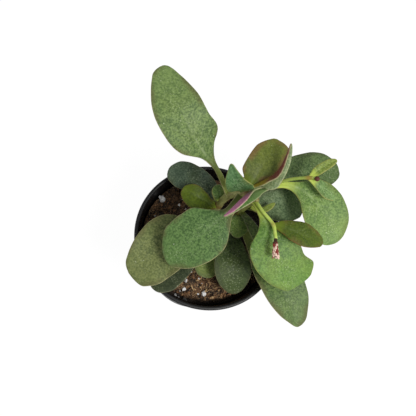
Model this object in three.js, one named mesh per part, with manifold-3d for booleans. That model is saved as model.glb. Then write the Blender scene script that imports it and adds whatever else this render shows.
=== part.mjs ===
// A young crassula in a round plastic nursery pot, seen from above.
// Millimetres, +Z up. The origin is the middle of the pot's flat underside.
// +X is the right of the photograph and +Y is its top.
import * as THREE from "three";
import { mergeVertices } from "three/addons/utils/BufferGeometryUtils.js";
import Module from "manifold-3d";

const wasm = await Module();
wasm.setup();

// Driving dimensions of the pot
const POT_HEIGHT = 86;
const RIM_RADIUS = 50;
const BASE_RADIUS = 36.5;
const WALL = 1.5;
const SKIRT_HEIGHT = 9;
const SKIRT_STEP = 1.3;
const LIP_ROUNDING = 1.1;
const FLOOR_ROUNDING = 0.8;
const POT_SIDES = 44;
const DRAIN_HOLES = 6;
const DRAIN_RADIUS = 4;
const DRAIN_CIRCLE = 26;

// Driving dimensions of the potting mix
const SOIL_LEVEL = 74;
const SOIL_SLOPE = 0.035;
const LUMP_HEIGHT = 0.9;
const SOIL_RINGS = 6;
const SOIL_SIDES = 32;
const CRUMBS = 26;

// Driving dimensions of the plant
const MAIN_STEM_RADIUS = 2.4;
const BRANCH_RADIUS = 2;
const STALK_RADIUS = 1.05;
const LEAF_MIDDLE = 2;
const LEAF_MARGIN = 0.9;
const TIP_THINNING = 0.55;
const TIP_HALF_WIDTH = 0.7;
const LEAF_STATIONS = 12;
const LEAF_COLUMNS = 6;
const STATION_CROWDING = 1.7;
const RIGHT_MARGIN_LAG = 2.1;
const CREASE_ROOM = 0.7;
const BUD_SIZE = 1.25;
const BUD_COUNT = 12;
const BUD_TURN = 2.4;

// Gap between neighbouring solids
const GAP = 0.3;

const part = new THREE.Group();

// Materials, with the colours of the photograph
function finish(color, roughness) {
  return new THREE.MeshStandardMaterial({ color, roughness, metalness: 0 });
}
const blackPlastic = finish(0x1d1e21, 0.42);
const pottingMix = finish(0x4a3328, 0.95);
const stemGreen = finish(0x6f8a3c, 0.5);
const stemBrown = finish(0x7a6142, 0.6);
const leafGreens = {
  mid: finish(0x66804f, 0.5),
  bright: finish(0x76934e, 0.45),
  olive: finish(0x6d7440, 0.48),
  dark: finish(0x3f5347, 0.5),
  pink: finish(0xa8527a, 0.5),
  red: finish(0x6b2f35, 0.5),
};
const budRed = finish(0x8a3b34, 0.6);

// Solids from geometry, and geometry from solids
function solidOf(geometry) {
  const bare = geometry.clone();
  bare.deleteAttribute("normal");
  bare.deleteAttribute("uv");
  const merged = mergeVertices(bare, 1e-4);
  return new wasm.Manifold(
    new wasm.Mesh({
      numProp: 3,
      vertProperties: new Float32Array(merged.attributes.position.array),
      triVerts: new Uint32Array(merged.index.array),
    }),
  );
}

function geometryOf(solid) {
  const mesh = solid.getMesh();
  const geometry = new THREE.BufferGeometry();
  geometry.setAttribute("position", new THREE.BufferAttribute(mesh.vertProperties, 3));
  geometry.setIndex(new THREE.BufferAttribute(mesh.triVerts, 1));
  geometry.computeVertexNormals();
  return geometry;
}

function addPiece(name, solid, material) {
  const mesh = new THREE.Mesh(geometryOf(solid), material);
  mesh.name = name;
  part.add(mesh);
}

function largestOf(solid) {
  const bodies = solid.decompose();
  bodies.sort((a, b) => b.volume() - a.volume());
  return bodies[0];
}

function pointsOf(list) {
  return list.map(([x, y, z]) => new THREE.Vector3(x, y, z));
}

// A seeded draw, the same on every run
function seededDraw(seed) {
  let state = seed;
  return () => {
    state = (state * 1664525 + 1013904223) % 4294967296;
    return state / 4294967296;
  };
}

// Pot: a thin tapered cup with a skirted rim and drain holes in its floor
function outerRadius(z) {
  const top = RIM_RADIUS - SKIRT_STEP;
  return BASE_RADIUS + ((top - BASE_RADIUS) * z) / POT_HEIGHT;
}

function innerRadius(z) {
  return outerRadius(z) - WALL;
}

function potSolid() {
  const skirtFoot = POT_HEIGHT - SKIRT_HEIGHT;
  const profile = [
    [0, 0],
    [BASE_RADIUS - FLOOR_ROUNDING, 0],
    [outerRadius(FLOOR_ROUNDING), FLOOR_ROUNDING],
    [outerRadius(skirtFoot), skirtFoot],
    [outerRadius(skirtFoot) + SKIRT_STEP, skirtFoot],
    [RIM_RADIUS, POT_HEIGHT - LIP_ROUNDING],
    [RIM_RADIUS - 0.35 * LIP_ROUNDING, POT_HEIGHT - 0.25 * LIP_ROUNDING],
    [RIM_RADIUS - LIP_ROUNDING, POT_HEIGHT],
    [innerRadius(POT_HEIGHT) + 0.5 * LIP_ROUNDING, POT_HEIGHT - 0.25 * LIP_ROUNDING],
    [innerRadius(POT_HEIGHT - LIP_ROUNDING), POT_HEIGHT - LIP_ROUNDING],
    [innerRadius(WALL + FLOOR_ROUNDING), WALL + FLOOR_ROUNDING],
    [innerRadius(WALL) - FLOOR_ROUNDING, WALL],
    [0, WALL],
  ].map(([r, z]) => new THREE.Vector2(r, z));
  const cup = new THREE.LatheGeometry(profile, POT_SIDES);
  cup.rotateX(Math.PI / 2);
  let solid = solidOf(cup);
  for (let k = 0; k < DRAIN_HOLES; k++) {
    const angle = (2 * Math.PI * k) / DRAIN_HOLES;
    const drill = new THREE.CylinderGeometry(DRAIN_RADIUS, DRAIN_RADIUS, 4 * WALL, 12);
    drill.rotateX(Math.PI / 2);
    drill.translate(DRAIN_CIRCLE * Math.cos(angle), DRAIN_CIRCLE * Math.sin(angle), 0);
    solid = solid.subtract(solidOf(drill));
  }
  return solid;
}

// Stems and stalks: round tubes along smooth curves
function stemCurve(points) {
  return new THREE.CatmullRomCurve3(pointsOf(points), false, "centripetal");
}

function tubeSolid(points, radius, sides = 8, steps = 12) {
  const section = new THREE.Shape();
  for (let k = 0; k < sides; k++) {
    const angle = (2 * Math.PI * k) / sides;
    const x = radius * Math.cos(angle);
    const y = radius * Math.sin(angle);
    if (k === 0) section.moveTo(x, y);
    else section.lineTo(x, y);
  }
  section.closePath();
  const tube = new THREE.ExtrudeGeometry(section, { steps, extrudePath: stemCurve(points) });
  return solidOf(tube);
}

function knotSolid([x, y, z], radius) {
  const knob = new THREE.SphereGeometry(radius, 8, 6);
  knob.translate(x, y, z);
  return solidOf(knob);
}

// knots are the slightly swollen places where leaves or stalks grow out.
const stems = {
  main: {
    radius: MAIN_STEM_RADIUS,
    points: [
      [6, 14, 60], [5, 14, 78], [4, 17, 96],
      [8.5, 19, 116], [14.5, 17.5, 127], [18.5, 17.6, 132],
    ],
    knots: [{ at: [4.6, 18, 101], radius: 2.8 }, { at: [18, 17.6, 131.2], radius: 2.8 }],
  },
  branch: {
    radius: BRANCH_RADIUS,
    points: [[17, 11, 60], [16, 11, 74], [19, 14, 98], [24, 15, 121]],
    knots: [{ at: [19, 14, 97], radius: 2.5 }, { at: [23.8, 15, 120], radius: 2.4 }],
  },
  frontStalk: {
    radius: STALK_RADIUS,
    points: [
      [24, 15, 119], [25, 13, 123], [27.5, 6, 128],
      [33, -3.5, 132], [33.5, -9, 134], [33.5, -14, 135.5],
    ],
    knots: [{ at: [33, -3.6, 132], radius: 1.5 }],
  },
  rightStalk: {
    radius: STALK_RADIUS,
    points: [
      [14.5, 17.5, 127], [22, 18.3, 128.5], [30, 20, 131],
      [40.5, 23.5, 137.5], [54, 24.3, 142], [56.6, 23.6, 143.5],
    ],
    knots: [{ at: [29.6, 19.9, 130.9], radius: 1.5 }, { at: [54, 24.3, 142], radius: 1.5 }],
  },
};

// The same path with each end moved outwards by the gap
function lengthened(points) {
  const path = pointsOf(points);
  const count = path.length;
  path[0].add(path[0].clone().sub(path[1]).setLength(GAP));
  path[count - 1].add(path[count - 1].clone().sub(path[count - 2]).setLength(GAP));
  return path.map((point) => point.toArray());
}

const cutters = [];
function clearOfStems(solid) {
  return largestOf(cutters.reduce((rest, cutter) => rest.subtract(cutter), solid));
}

function addStem(name, { points, radius, knots }, material) {
  let solid = tubeSolid(points, radius);
  let cutter = tubeSolid(lengthened(points), radius + GAP);
  for (const knot of knots) {
    solid = solid.add(knotSolid(knot.at, knot.radius));
    cutter = cutter.add(knotSolid(knot.at, knot.radius + GAP));
  }
  addPiece(name, clearOfStems(solid), material);
  cutters.push(cutter);
}

// Potting mix: a filled cone with a lumpy top, crumbs sunk in it and holes for the stems
function soilHeight(x, y) {
  const lumps = Math.sin(x * 0.31 + 1.2) * Math.cos(y * 0.27) + 0.6 * Math.sin(x * 0.13 - y * 0.52);
  return SOIL_LEVEL + SOIL_SLOPE * y + LUMP_HEIGHT * lumps;
}

function soilSolid() {
  const edge = innerRadius(SOIL_LEVEL) - GAP - 0.2;
  const floor = WALL + GAP;
  const profile = [
    [0, floor],
    [innerRadius(floor) - GAP - 1.2, floor],
    [innerRadius(floor + 1.5) - GAP - 0.2, floor + 1.5],
    [edge - 0.6, SOIL_LEVEL - 3],
  ].map(([r, z]) => new THREE.Vector2(r, z));
  for (let k = 0; k <= SOIL_RINGS; k++) {
    profile.push(new THREE.Vector2((edge * (SOIL_RINGS - k)) / SOIL_RINGS, SOIL_LEVEL));
  }
  const heap = new THREE.LatheGeometry(profile, SOIL_SIDES);
  heap.rotateX(Math.PI / 2);
  const place = heap.attributes.position;
  for (let i = 0; i < place.count; i++) {
    if (place.getZ(i) > SOIL_LEVEL - 0.01) {
      place.setZ(i, soilHeight(place.getX(i), place.getY(i)));
    }
  }
  let solid = solidOf(heap);
  const draw = seededDraw(11);
  for (let k = 0; k < CRUMBS; k++) {
    const size = 1.2 + 1.5 * draw();
    const angle = 2 * Math.PI * draw();
    const reach = (edge - 4) * Math.sqrt(draw());
    const x = reach * Math.cos(angle);
    const y = reach * Math.sin(angle);
    const crumb = new THREE.IcosahedronGeometry(size, 0);
    crumb.scale(1, 0.7 + 0.3 * draw(), 0.8);
    crumb.rotateZ(6 * draw());
    crumb.translate(x, y, soilHeight(x, y) + 0.1 * size);
    solid = solid.add(solidOf(crumb));
  }
  return solid;
}

// Leaves. Each is given by its midrib from root to tip, by its half widths on the left
// and on the right (looking from root to tip) at the places WIDTH_AT along the midrib,
// and by how it leans, folds, cups and waves.
const WIDTH_AT = [0, 0.14, 0.26, 0.36, 0.46, 0.6, 0.74, 0.86, 0.95];

// The slope of a half width at its k-th place
function slopeAt(values, k) {
  const rise = (i) => (values[i + 1] - values[i]) / (WIDTH_AT[i + 1] - WIDTH_AT[i]);
  if (k === 0) return rise(0);
  if (k === values.length - 1) return 1.5 * rise(k - 1) - 0.5 * slopeAt(values, k - 1);
  const before = WIDTH_AT[k] - WIDTH_AT[k - 1];
  const after = WIDTH_AT[k + 1] - WIDTH_AT[k];
  return (rise(k - 1) * after + rise(k) * before) / (before + after);
}

function readSmoothly(values, s) {
  let k = 0;
  while (k < WIDTH_AT.length - 2 && s > WIDTH_AT[k + 1]) k++;
  const span = WIDTH_AT[k + 1] - WIDTH_AT[k];
  const t = (s - WIDTH_AT[k]) / span;
  const leave = span * slopeAt(values, k);
  const arrive = span * slopeAt(values, k + 1);
  const rise = values[k + 1] - values[k];
  return values[k] + t * (leave + t * (3 * rise - 2 * leave - arrive + t * (leave + arrive - 2 * rise)));
}

// Beyond the last place the margin goes on smoothly into a round tip.
function halfWidth(widths, s) {
  const end = WIDTH_AT.length - 1;
  const last = WIDTH_AT[end];
  if (s <= last) return readSmoothly(widths, s);
  const t = (s - last) / (1 - last);
  const fall = Math.min(0.9, Math.max(0, (-slopeAt(widths, end) * (1 - last)) / widths[end]));
  const share = Math.max(0, (1 - t) * (1 + (1 - 2 * fall) * t));
  return Math.max(TIP_HALF_WIDTH, widths[end] * Math.sqrt(share));
}

// The blade's frame at s: its middle, the direction of its left side and its upper normal
function bladeFrame(leaf, curve, s) {
  const ahead = curve.getTangentAt(s);
  const side = new THREE.Vector3(...(leaf.face ?? [0, 0, 1])).cross(ahead).normalize();
  const normal = ahead.clone().cross(side);
  const roll = THREE.MathUtils.degToRad(leaf.lean ?? 0);
  return {
    middle: curve.getPointAt(s),
    side: side.applyAxisAngle(ahead, roll),
    normal: normal.applyAxisAngle(ahead, roll),
  };
}

// u runs from -1 at the right margin to 1 at the left one; face is 1 above and -1 below.
// Inside a sharp fold each half keeps to its own side of the crease.
function leafPoint(leaf, curve, s, u, face) {
  const { middle, side, normal } = bladeFrame(leaf, curve, s);
  const half = halfWidth(u > 0 ? leaf.left : leaf.right, s);
  const blade = THREE.MathUtils.smoothstep(s, 0.1, 0.3);
  const fold = THREE.MathUtils.degToRad((leaf.fold ?? 0) * (leaf.foldedRoot ? 1 : blade));
  const [height, count, phase] = leaf.wave ?? [0, 1, 0];
  const ripple = height * Math.sin(2 * Math.PI * count * s + phase + (u > 0 ? 0 : RIGHT_MARGIN_LAG));
  const rise = Math.abs(u) * half * Math.sin(fold) + ((leaf.cup ?? 0) + ripple) * blade * u * u;
  const thick = LEAF_MARGIN + (LEAF_MIDDLE - LEAF_MARGIN) * (1 - u * u) * (1 - TIP_THINNING * s);
  let depth = thick / 2;
  if (face > 0 && u !== 0 && fold > 0) {
    depth = Math.min(depth, (CREASE_ROOM * Math.abs(u) * half) / Math.tan(fold));
  }
  const outward = normal.clone().multiplyScalar(Math.cos(fold));
  outward.addScaledVector(side, -Math.sign(u) * Math.sin(fold));
  return middle
    .addScaledVector(side, u * half * Math.cos(fold))
    .addScaledVector(normal, rise)
    .addScaledVector(outward, face * depth);
}

// One closed blade. Both faces are split along the same diagonals.
function leafSolid(leaf) {
  const curve = stemCurve(leaf.rib);
  const places = [];
  const faces = [];
  const across = LEAF_COLUMNS + 1;
  const at = (k, j, under) => (2 * k + under) * across + j;
  const quad = (a, b, c, d) => faces.push(a, b, c, a, c, d);
  for (let k = 0; k <= LEAF_STATIONS; k++) {
    const s = 1 - Math.pow(1 - k / LEAF_STATIONS, STATION_CROWDING);
    for (const face of [1, -1]) {
      for (let j = 0; j < across; j++) {
        places.push(...leafPoint(leaf, curve, s, (2 * j) / LEAF_COLUMNS - 1, face).toArray());
      }
    }
  }
  for (let k = 0; k < LEAF_STATIONS; k++) {
    for (let j = 0; j < LEAF_COLUMNS; j++) {
      quad(at(k, j, 0), at(k + 1, j, 0), at(k + 1, j + 1, 0), at(k, j + 1, 0));
      quad(at(k + 1, j + 1, 1), at(k + 1, j, 1), at(k, j, 1), at(k, j + 1, 1));
    }
    const end = LEAF_COLUMNS;
    quad(at(k, 0, 1), at(k + 1, 0, 1), at(k + 1, 0, 0), at(k, 0, 0));
    quad(at(k, end, 0), at(k + 1, end, 0), at(k + 1, end, 1), at(k, end, 1));
  }
  const tip = LEAF_STATIONS;
  for (let j = 0; j < LEAF_COLUMNS; j++) {
    quad(at(0, j, 0), at(0, j + 1, 0), at(0, j + 1, 1), at(0, j, 1));
    quad(at(tip, j + 1, 0), at(tip, j, 0), at(tip, j, 1), at(tip, j + 1, 1));
  }
  const geometry = new THREE.BufferGeometry();
  geometry.setAttribute("position", new THREE.Float32BufferAttribute(places, 3));
  geometry.setIndex(faces);
  return solidOf(geometry);
}

const leaves = [
  {
    name: "leaf_01_tall_upper_left", tone: "mid", fold: 6, wave: [1, 1.5, 0.5],
    rib: [[8.5, 18.5, 117], [-1, 31.5, 128], [-13, 41, 140], [-25.5, 58, 152], [-38, 85.5, 157]],
    left: [1.8, 1.6, 1.8, 3.8, 12.6, 16.8, 16.8, 13, 8.8],
    right: [1.8, 2.2, 3.2, 9, 15.6, 14.4, 13.8, 10.2, 6],
  },
  {
    name: "leaf_02_dark_left", tone: "dark", fold: 10,
    rib: [[4.2, 16, 89], [1, 26, 93], [-8, 34, 97], [-18, 38, 98], [-29.5, 40, 96]],
    left: [2, 3, 6, 8.5, 10, 11.5, 11, 9.5, 6],
    right: [2, 3, 6, 7.8, 8.5, 9.2, 9.6, 8.4, 5.5],
  },
  {
    name: "leaf_03_small_olive_left", tone: "olive", fold: 10,
    rib: [[4.8, 17.6, 99], [-4, 18, 104], [-13, 20.5, 107], [-21, 24, 107]],
    left: [2, 3, 5, 7, 8, 9, 8, 6, 3.5],
    right: [2, 2.5, 3.5, 5, 6, 7.5, 8, 7, 5],
  },
  {
    name: "leaf_04_short_left", tone: "bright", fold: 12,
    rib: [[6, 18.5, 105], [4.5, 22, 108], [2, 28.5, 109]],
    left: [1.8, 3, 5, 5.5, 5.5, 5.5, 5, 4, 2.5],
    right: [1.8, 2, 2.5, 3, 3, 3.5, 3, 2.5, 2],
  },
  {
    name: "leaf_05_large_front_left", tone: "mid", fold: 3, cup: -1, wave: [0.8, 1.2, 0],
    rib: [[14.5, 17.3, 127], [8, 7, 128.5], [-2.5, -3, 126.5], [-15.5, -14, 121], [-30.5, -24, 113]],
    left: [2, 3, 4.5, 10, 14.5, 16, 14.5, 11.5, 7],
    right: [2, 2.5, 3.5, 9, 16, 18, 18, 16, 10],
  },
  {
    name: "leaf_06_folded_pink", tone: "pink", fold: 72, foldedRoot: true, lean: -47,
    rib: [[33.4, 20.6, 134.5], [29, 19.6, 134.4], [22, 17.4, 135], [12.5, 9.4, 137.2], [2.2, -1, 136]],
    left: [1.4, 3.4, 5.4, 6.5, 6.6, 6, 4.6, 3.2, 2],
    right: [1.2, 1.2, 1.3, 1.8, 3.6, 6, 6.2, 4.6, 2.6],
  },
  {
    name: "leaf_07_folded_red", tone: "red", fold: 70, foldedRoot: true, lean: 50,
    rib: [
      [19.8, 18.8, 132.8], [25.6, 21.2, 137], [31, 23.6, 142], [35.2, 27.8, 146.5], [38.6, 35, 149.5],
      [41.4, 42.8, 150],
    ],
    left: [1.4, 4.4, 6.6, 5.6, 6.2, 3.6, 2.2, 1.2, 0.8],
    right: [1.2, 1.4, 6.8, 8.4, 6.6, 4.7, 3.8, 2.6, 1.6],
  },
  {
    name: "leaf_08_central", tone: "bright", face: [-0.3, -0.6, 1], fold: 12,
    rib: [[15.5, 17.6, 129], [12.2, 17.4, 138.5], [7.6, 19.4, 148], [3.5, 26.5, 153]],
    left: [2, 2.6, 5, 8, 8.5, 8, 6.5, 4, 2],
    right: [2, 5, 8, 8, 7, 5, 3.5, 2.3, 1.5],
  },
  {
    name: "leaf_09_olive_top", tone: "olive", fold: 8,
    rib: [[17, 17.8, 131], [21.5, 24, 134], [27, 34, 137], [37.5, 51, 135]],
    left: [2, 6, 10, 10.5, 10.5, 10.3, 9.2, 6.6, 4],
    right: [1.6, 1.8, 4.8, 8, 10.4, 11.3, 11.6, 11.2, 8.2],
  },
  {
    name: "leaf_10_small_folded_right", tone: "bright", fold: 25,
    rib: [[54.3, 24.6, 142.3], [59.3, 28.2, 145.5], [64.5, 31.2, 148], [69.5, 33.5, 150]],
    left: [1.1, 2, 3, 3.2, 3.2, 3.2, 3, 2.4, 1.5],
    right: [1.1, 2, 3, 3.2, 3.2, 3.2, 3, 2.4, 1.5],
  },
  {
    name: "leaf_11_small_right", tone: "bright", fold: 6,
    rib: [[53.8, 23.9, 141.6], [60, 20.5, 139.5], [66, 17, 137], [72, 13.5, 135]],
    left: [1.1, 2.5, 3.5, 4.5, 5, 5.5, 5, 4, 2.5],
    right: [1.1, 1.5, 2.5, 3, 3.5, 4, 4, 3, 2],
  },
  {
    name: "leaf_12_oval_front_right", tone: "olive", fold: 4,
    rib: [[33, -3.7, 131.9], [41.5, -6.5, 134], [52, -11, 135], [63.5, -14.5, 132.5]],
    left: [1.1, 4, 5.5, 6.5, 7.5, 8, 7, 5.5, 3.5],
    right: [1.1, 3, 4.5, 6, 6.5, 7, 6, 4.5, 3],
  },
  {
    name: "leaf_13_large_right", tone: "bright", fold: 4, wave: [0.8, 1.3, 1],
    rib: [[31, 20.2, 131.3], [41.5, 22.5, 131.5], [55.5, 18, 130], [68, 5.5, 125], [76, -10.5, 117]],
    left: [1.2, 2, 3.5, 8, 14.6, 17.4, 16, 12.6, 8],
    right: [1.2, 2, 3, 6.5, 11, 14.5, 14.5, 12, 8],
  },
  {
    name: "leaf_14_bright_front", tone: "bright", fold: 3, wave: [0.8, 1.4, 2],
    rib: [[23.5, 15, 119], [27, 5, 126], [32, -8, 128], [39.5, -24, 124], [48, -40, 116]],
    left: [1.6, 2, 3, 5, 9, 14.5, 15, 19, 15.4],
    right: [1.6, 2, 3, 7, 15.5, 18, 16, 12, 7],
  },
  {
    name: "leaf_15_dark_upper_right", tone: "dark", fold: 8,
    rib: [[27.5, 19.4, 130.2], [38, 27, 125.5], [50, 32, 123], [66, 37, 121], [83, 39.5, 116]],
    left: [1.2, 2, 4, 8, 12, 13, 12.5, 10.5, 7],
    right: [1.2, 2, 4, 7, 10, 11.5, 12, 10, 6],
  },
  {
    name: "leaf_16_dark_right", tone: "dark", fold: 10,
    rib: [[21, 14.5, 107], [30, 15.5, 111], [42, 16.5, 112], [59, 13.5, 108]],
    left: [1.6, 3.5, 6, 8, 9.5, 11, 12, 9.5, 6],
    right: [1.6, 4, 8, 10, 11, 12, 10.5, 8.5, 6],
  },
  {
    name: "leaf_17_shaded_centre", tone: "dark", fold: 8,
    rib: [[18.7, 13.7, 95], [17.5, 6, 101], [15.5, -5, 102]],
    left: [1.6, 2.5, 4, 5.5, 6.5, 7, 6.5, 5, 3],
    right: [1.6, 2.5, 4, 5.5, 6.5, 7, 6.5, 5, 3],
  },
  {
    name: "leaf_18_shaded_front", tone: "dark", fold: 8,
    rib: [[19.3, 14, 99], [22.5, 7, 107], [28, -3, 108], [33, -12, 104]],
    left: [1.6, 1.8, 1.8, 2, 2.4, 3.2, 3.8, 3.6, 2.5],
    right: [1.6, 2, 2.5, 3.5, 4, 4.5, 4.5, 4, 2.5],
  },
  {
    name: "leaf_19_lower_centre", tone: "dark", fold: 10,
    rib: [[4.2, 16, 87], [10, 5, 91], [13.5, -8, 95], [14.5, -24, 95], [17, -39, 87]],
    left: [2, 3, 4.5, 6, 8, 11, 12, 10, 6],
    right: [2, 3, 4, 6, 9, 12, 12.5, 10, 6],
  },
  {
    name: "leaf_20_bottom_right", tone: "mid", fold: 6,
    rib: [[17.5, 13, 90], [25, -1, 96], [37, -19, 99], [47, -39, 98], [58, -60.3, 92]],
    left: [2, 3, 6, 10, 14, 16.2, 15.6, 12.8, 8],
    right: [2, 3, 6, 9.4, 12.6, 13.2, 12, 8.8, 4.6],
  },
  {
    name: "leaf_21_large_left", tone: "mid", fold: 5, wave: [1.8, 2.2, 0.6],
    rib: [[4.1, 16, 91], [-11, 1, 98], [-30.5, -13, 102], [-53, -28.2, 96]],
    left: [2, 3, 5, 8, 12, 16.5, 17.4, 16.8, 13.4],
    right: [2, 3, 6, 12, 18, 20, 17, 12.5, 8],
  },
  {
    name: "leaf_22_low_left", tone: "dark", fold: 6,
    rib: [[4.3, 15, 85], [-6, -4, 89], [-19, -22, 91], [-38, -36.5, 90]],
    left: [2, 3, 4, 5, 6, 7.5, 9, 9.5, 7],
    right: [2, 3, 4, 5, 6, 7, 7, 6, 4],
  },
  {
    name: "leaf_23_low_front", tone: "dark", fold: 8,
    rib: [[4.8, 14.3, 79], [2, -3, 84], [-1.5, -28.5, 84]],
    left: [2, 2.5, 3, 3.5, 4, 5.5, 7, 7, 5],
    right: [2, 2.5, 4, 6, 7.5, 10, 11, 9.5, 7],
  },
  {
    name: "leaf_24_tiny_young", tone: "bright", fold: 15,
    rib: [[23.6, 12.8, 113], [29, 10, 115.5], [33.5, 11.2, 118.5], [37.6, 14.1, 120.5]],
    left: [1.2, 1.5, 1.8, 2, 2.1, 2.1, 2, 1.6, 1],
    right: [1.2, 1.5, 1.8, 2, 2.1, 2.1, 2, 1.6, 1],
  },
];

// Buds: small ovals set round a short core, and one oval bud on the right stalk
function ovalSolid([x, y, z], size, length) {
  const oval = new THREE.SphereGeometry(size, 6, 4);
  oval.rotateX(Math.PI / 2);
  oval.scale(1, 1, length);
  oval.translate(x, y, z);
  return solidOf(oval);
}

function budClusterSolid() {
  const core = [[33.5, -13, 135.2], [32.9, -17, 136], [33.2, -24.5, 135]];
  let solid = tubeSolid(core, STALK_RADIUS, 8, 6);
  for (let k = 0; k < BUD_COUNT; k++) {
    const middle = stemCurve(core).getPointAt(0.25 + (0.75 * k) / (BUD_COUNT - 1));
    middle.x += BUD_SIZE * Math.cos(BUD_TURN * k);
    middle.z += BUD_SIZE * Math.sin(BUD_TURN * k);
    solid = solid.add(ovalSolid(middle.toArray(), BUD_SIZE, 1.2));
  }
  return solid;
}

addPiece("pot", potSolid(), blackPlastic);

const wells = [stems.main, stems.branch].map(({ points, radius }) => {
  return tubeSolid(lengthened(points), radius + GAP);
});
const soil = wells.reduce((rest, well) => rest.subtract(well), soilSolid());
addPiece("soil", largestOf(soil), pottingMix);

addStem("stem_main", stems.main, stemBrown);
addStem("stem_branch", stems.branch, stemBrown);
addStem("stalk_front", stems.frontStalk, stemGreen);
addStem("stalk_right", stems.rightStalk, stemGreen);
addPiece("buds_front", clearOfStems(budClusterSolid()), budRed);
addPiece("bud_right", clearOfStems(ovalSolid([58.2, 22.9, 144.3], 1.7, 1.1)), budRed);

for (const leaf of leaves) {
  addPiece(leaf.name, clearOfStems(leafSolid(leaf)), leafGreens[leaf.tone]);
}

export default part;
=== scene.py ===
# %% [markdown]
# # A young crassula in a plastic nursery pot
#
# The plant stands in a small round black pot. Two short stems lean out of the potting mix, and
# thick flat leaves spread from them in all directions, with two thin flower stalks between them.
# The plain solids of the part are loaded first and stay where they are. Each step then models
# one kind of piece finely enough for a close look, in the place of its plain solid.

import math
import random

import bmesh
import bpy
from mathutils import Matrix, Vector, noise


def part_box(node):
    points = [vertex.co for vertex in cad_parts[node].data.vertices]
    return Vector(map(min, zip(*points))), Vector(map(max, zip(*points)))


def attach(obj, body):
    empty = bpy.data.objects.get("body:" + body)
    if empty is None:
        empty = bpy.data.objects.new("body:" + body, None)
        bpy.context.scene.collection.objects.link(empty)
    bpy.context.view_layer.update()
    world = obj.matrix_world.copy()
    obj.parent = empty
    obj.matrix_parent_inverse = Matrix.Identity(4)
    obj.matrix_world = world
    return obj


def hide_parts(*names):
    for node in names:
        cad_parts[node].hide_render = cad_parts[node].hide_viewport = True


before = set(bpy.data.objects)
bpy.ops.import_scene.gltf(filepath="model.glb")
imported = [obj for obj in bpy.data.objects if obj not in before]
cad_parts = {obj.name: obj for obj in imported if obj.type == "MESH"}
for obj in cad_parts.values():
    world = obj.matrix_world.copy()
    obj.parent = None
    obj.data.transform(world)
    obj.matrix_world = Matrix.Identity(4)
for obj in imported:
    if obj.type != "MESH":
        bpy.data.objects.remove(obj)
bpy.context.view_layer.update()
MM = 0.001

# %% [markdown]
# ## The camera
#
# The picture is taken from above, a little from the front left, so the pot's wall shows only at
# its lower edge. Such a view could be found by dragging the camera about, but the rim of the pot
# is a circle of known size, and its shape in the picture gives the tilt and the distance. The
# camera's axes are built from those numbers, with the picture's top towards +Y.

# %% Set up the camera
PICTURE_SIZE = 416
RIM_HEIGHT = 86
CAMERA_DISTANCE = 420
CAMERA_TILT = math.radians(16.5)
CAMERA_HEADING = math.radians(-118.7)
LOOK_AT = Vector((-0.6, 19.5, 86)) * MM
FOCAL_PIXELS = 623
SENSOR_WIDTH = 36
CLIP_START = 0.01


def set_up_camera():
    reach = CAMERA_DISTANCE * math.sin(CAMERA_TILT)
    height = RIM_HEIGHT + CAMERA_DISTANCE * math.cos(CAMERA_TILT)
    place = Vector((reach * math.cos(CAMERA_HEADING), reach * math.sin(CAMERA_HEADING), height)) * MM
    back = (place - LOOK_AT).normalized()
    up = (Vector((0, 1, 0)) - back * back.y).normalized()
    right = up.cross(back)
    data = bpy.data.cameras.new("camera")
    data.sensor_width = SENSOR_WIDTH
    data.lens = FOCAL_PIXELS / PICTURE_SIZE * SENSOR_WIDTH
    data.clip_start = CLIP_START
    camera = bpy.data.objects.new("camera", data)
    axes = Matrix((right, up, back)).transposed().to_4x4()
    camera.matrix_world = Matrix.Translation(place) @ axes
    bpy.context.scene.collection.objects.link(camera)
    bpy.context.scene.camera = camera
    print("camera at", [round(v / MM) for v in place], "mm, lens", round(data.lens, 1), "mm")


set_up_camera()

# %% [markdown]
# ## Smooth paths
#
# Leaves and stems follow gentle curves through a few points in space. A curve object could be
# bent along them, but a small class of our own gives the very same line as the plain solids
# have: a centripetal Catmull-Rom curve, read by the share of its length.

# %% A smooth path through points
SPAN_STEPS = 80
AHEAD_STEP = 0.004


class Path:
    """A curve through points given in mm. Its own places are in metres."""

    def __init__(self, points):
        knots = [Vector(p) * MM for p in points]
        knots = [2 * knots[0] - knots[1], *knots, 2 * knots[-1] - knots[-2]]
        self.line = []
        for a, b, c, d in zip(knots, knots[1:], knots[2:], knots[3:]):
            before = math.sqrt((b - a).length)
            here = math.sqrt((c - b).length)
            after = math.sqrt((d - c).length)
            leave = ((b - a) / before - (c - a) / (before + here) + (c - b) / here) * here
            arrive = ((c - b) / here - (d - b) / (here + after) + (d - c) / after) * here
            for k in range(SPAN_STEPS):
                t = k / SPAN_STEPS
                bend = 3 * (c - b) - 2 * leave - arrive
                turn = 2 * (b - c) + leave + arrive
                self.line.append(b + leave * t + bend * t ** 2 + turn * t ** 3)
        self.line.append(knots[-2])
        self.reach = [0.0]
        for a, b in zip(self.line, self.line[1:]):
            self.reach.append(self.reach[-1] + (b - a).length)
        self.length = self.reach[-1]

    def at(self, share):
        goal = min(max(share, 0), 1) * self.length
        k = 1
        while k < len(self.reach) - 1 and self.reach[k] < goal:
            k += 1
        part = (goal - self.reach[k - 1]) / (self.reach[k] - self.reach[k - 1])
        return self.line[k - 1].lerp(self.line[k], part)

    def ahead(self, share):
        return (self.at(min(share + AHEAD_STEP, 1)) - self.at(max(share - AHEAD_STEP, 0))).normalized()


def smooth_step(value, low, high):
    t = min(max((value - low) / (high - low), 0), 1)
    return t * t * (3 - 2 * t)


# %% [markdown]
# ## From a bmesh to a piece of the part
#
# Every piece is made in a bmesh and handed over in the same way: shaded smooth, named, given
# its finish, tied to the part's one body, and shown in place of the plain solids it stands for.

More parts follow.
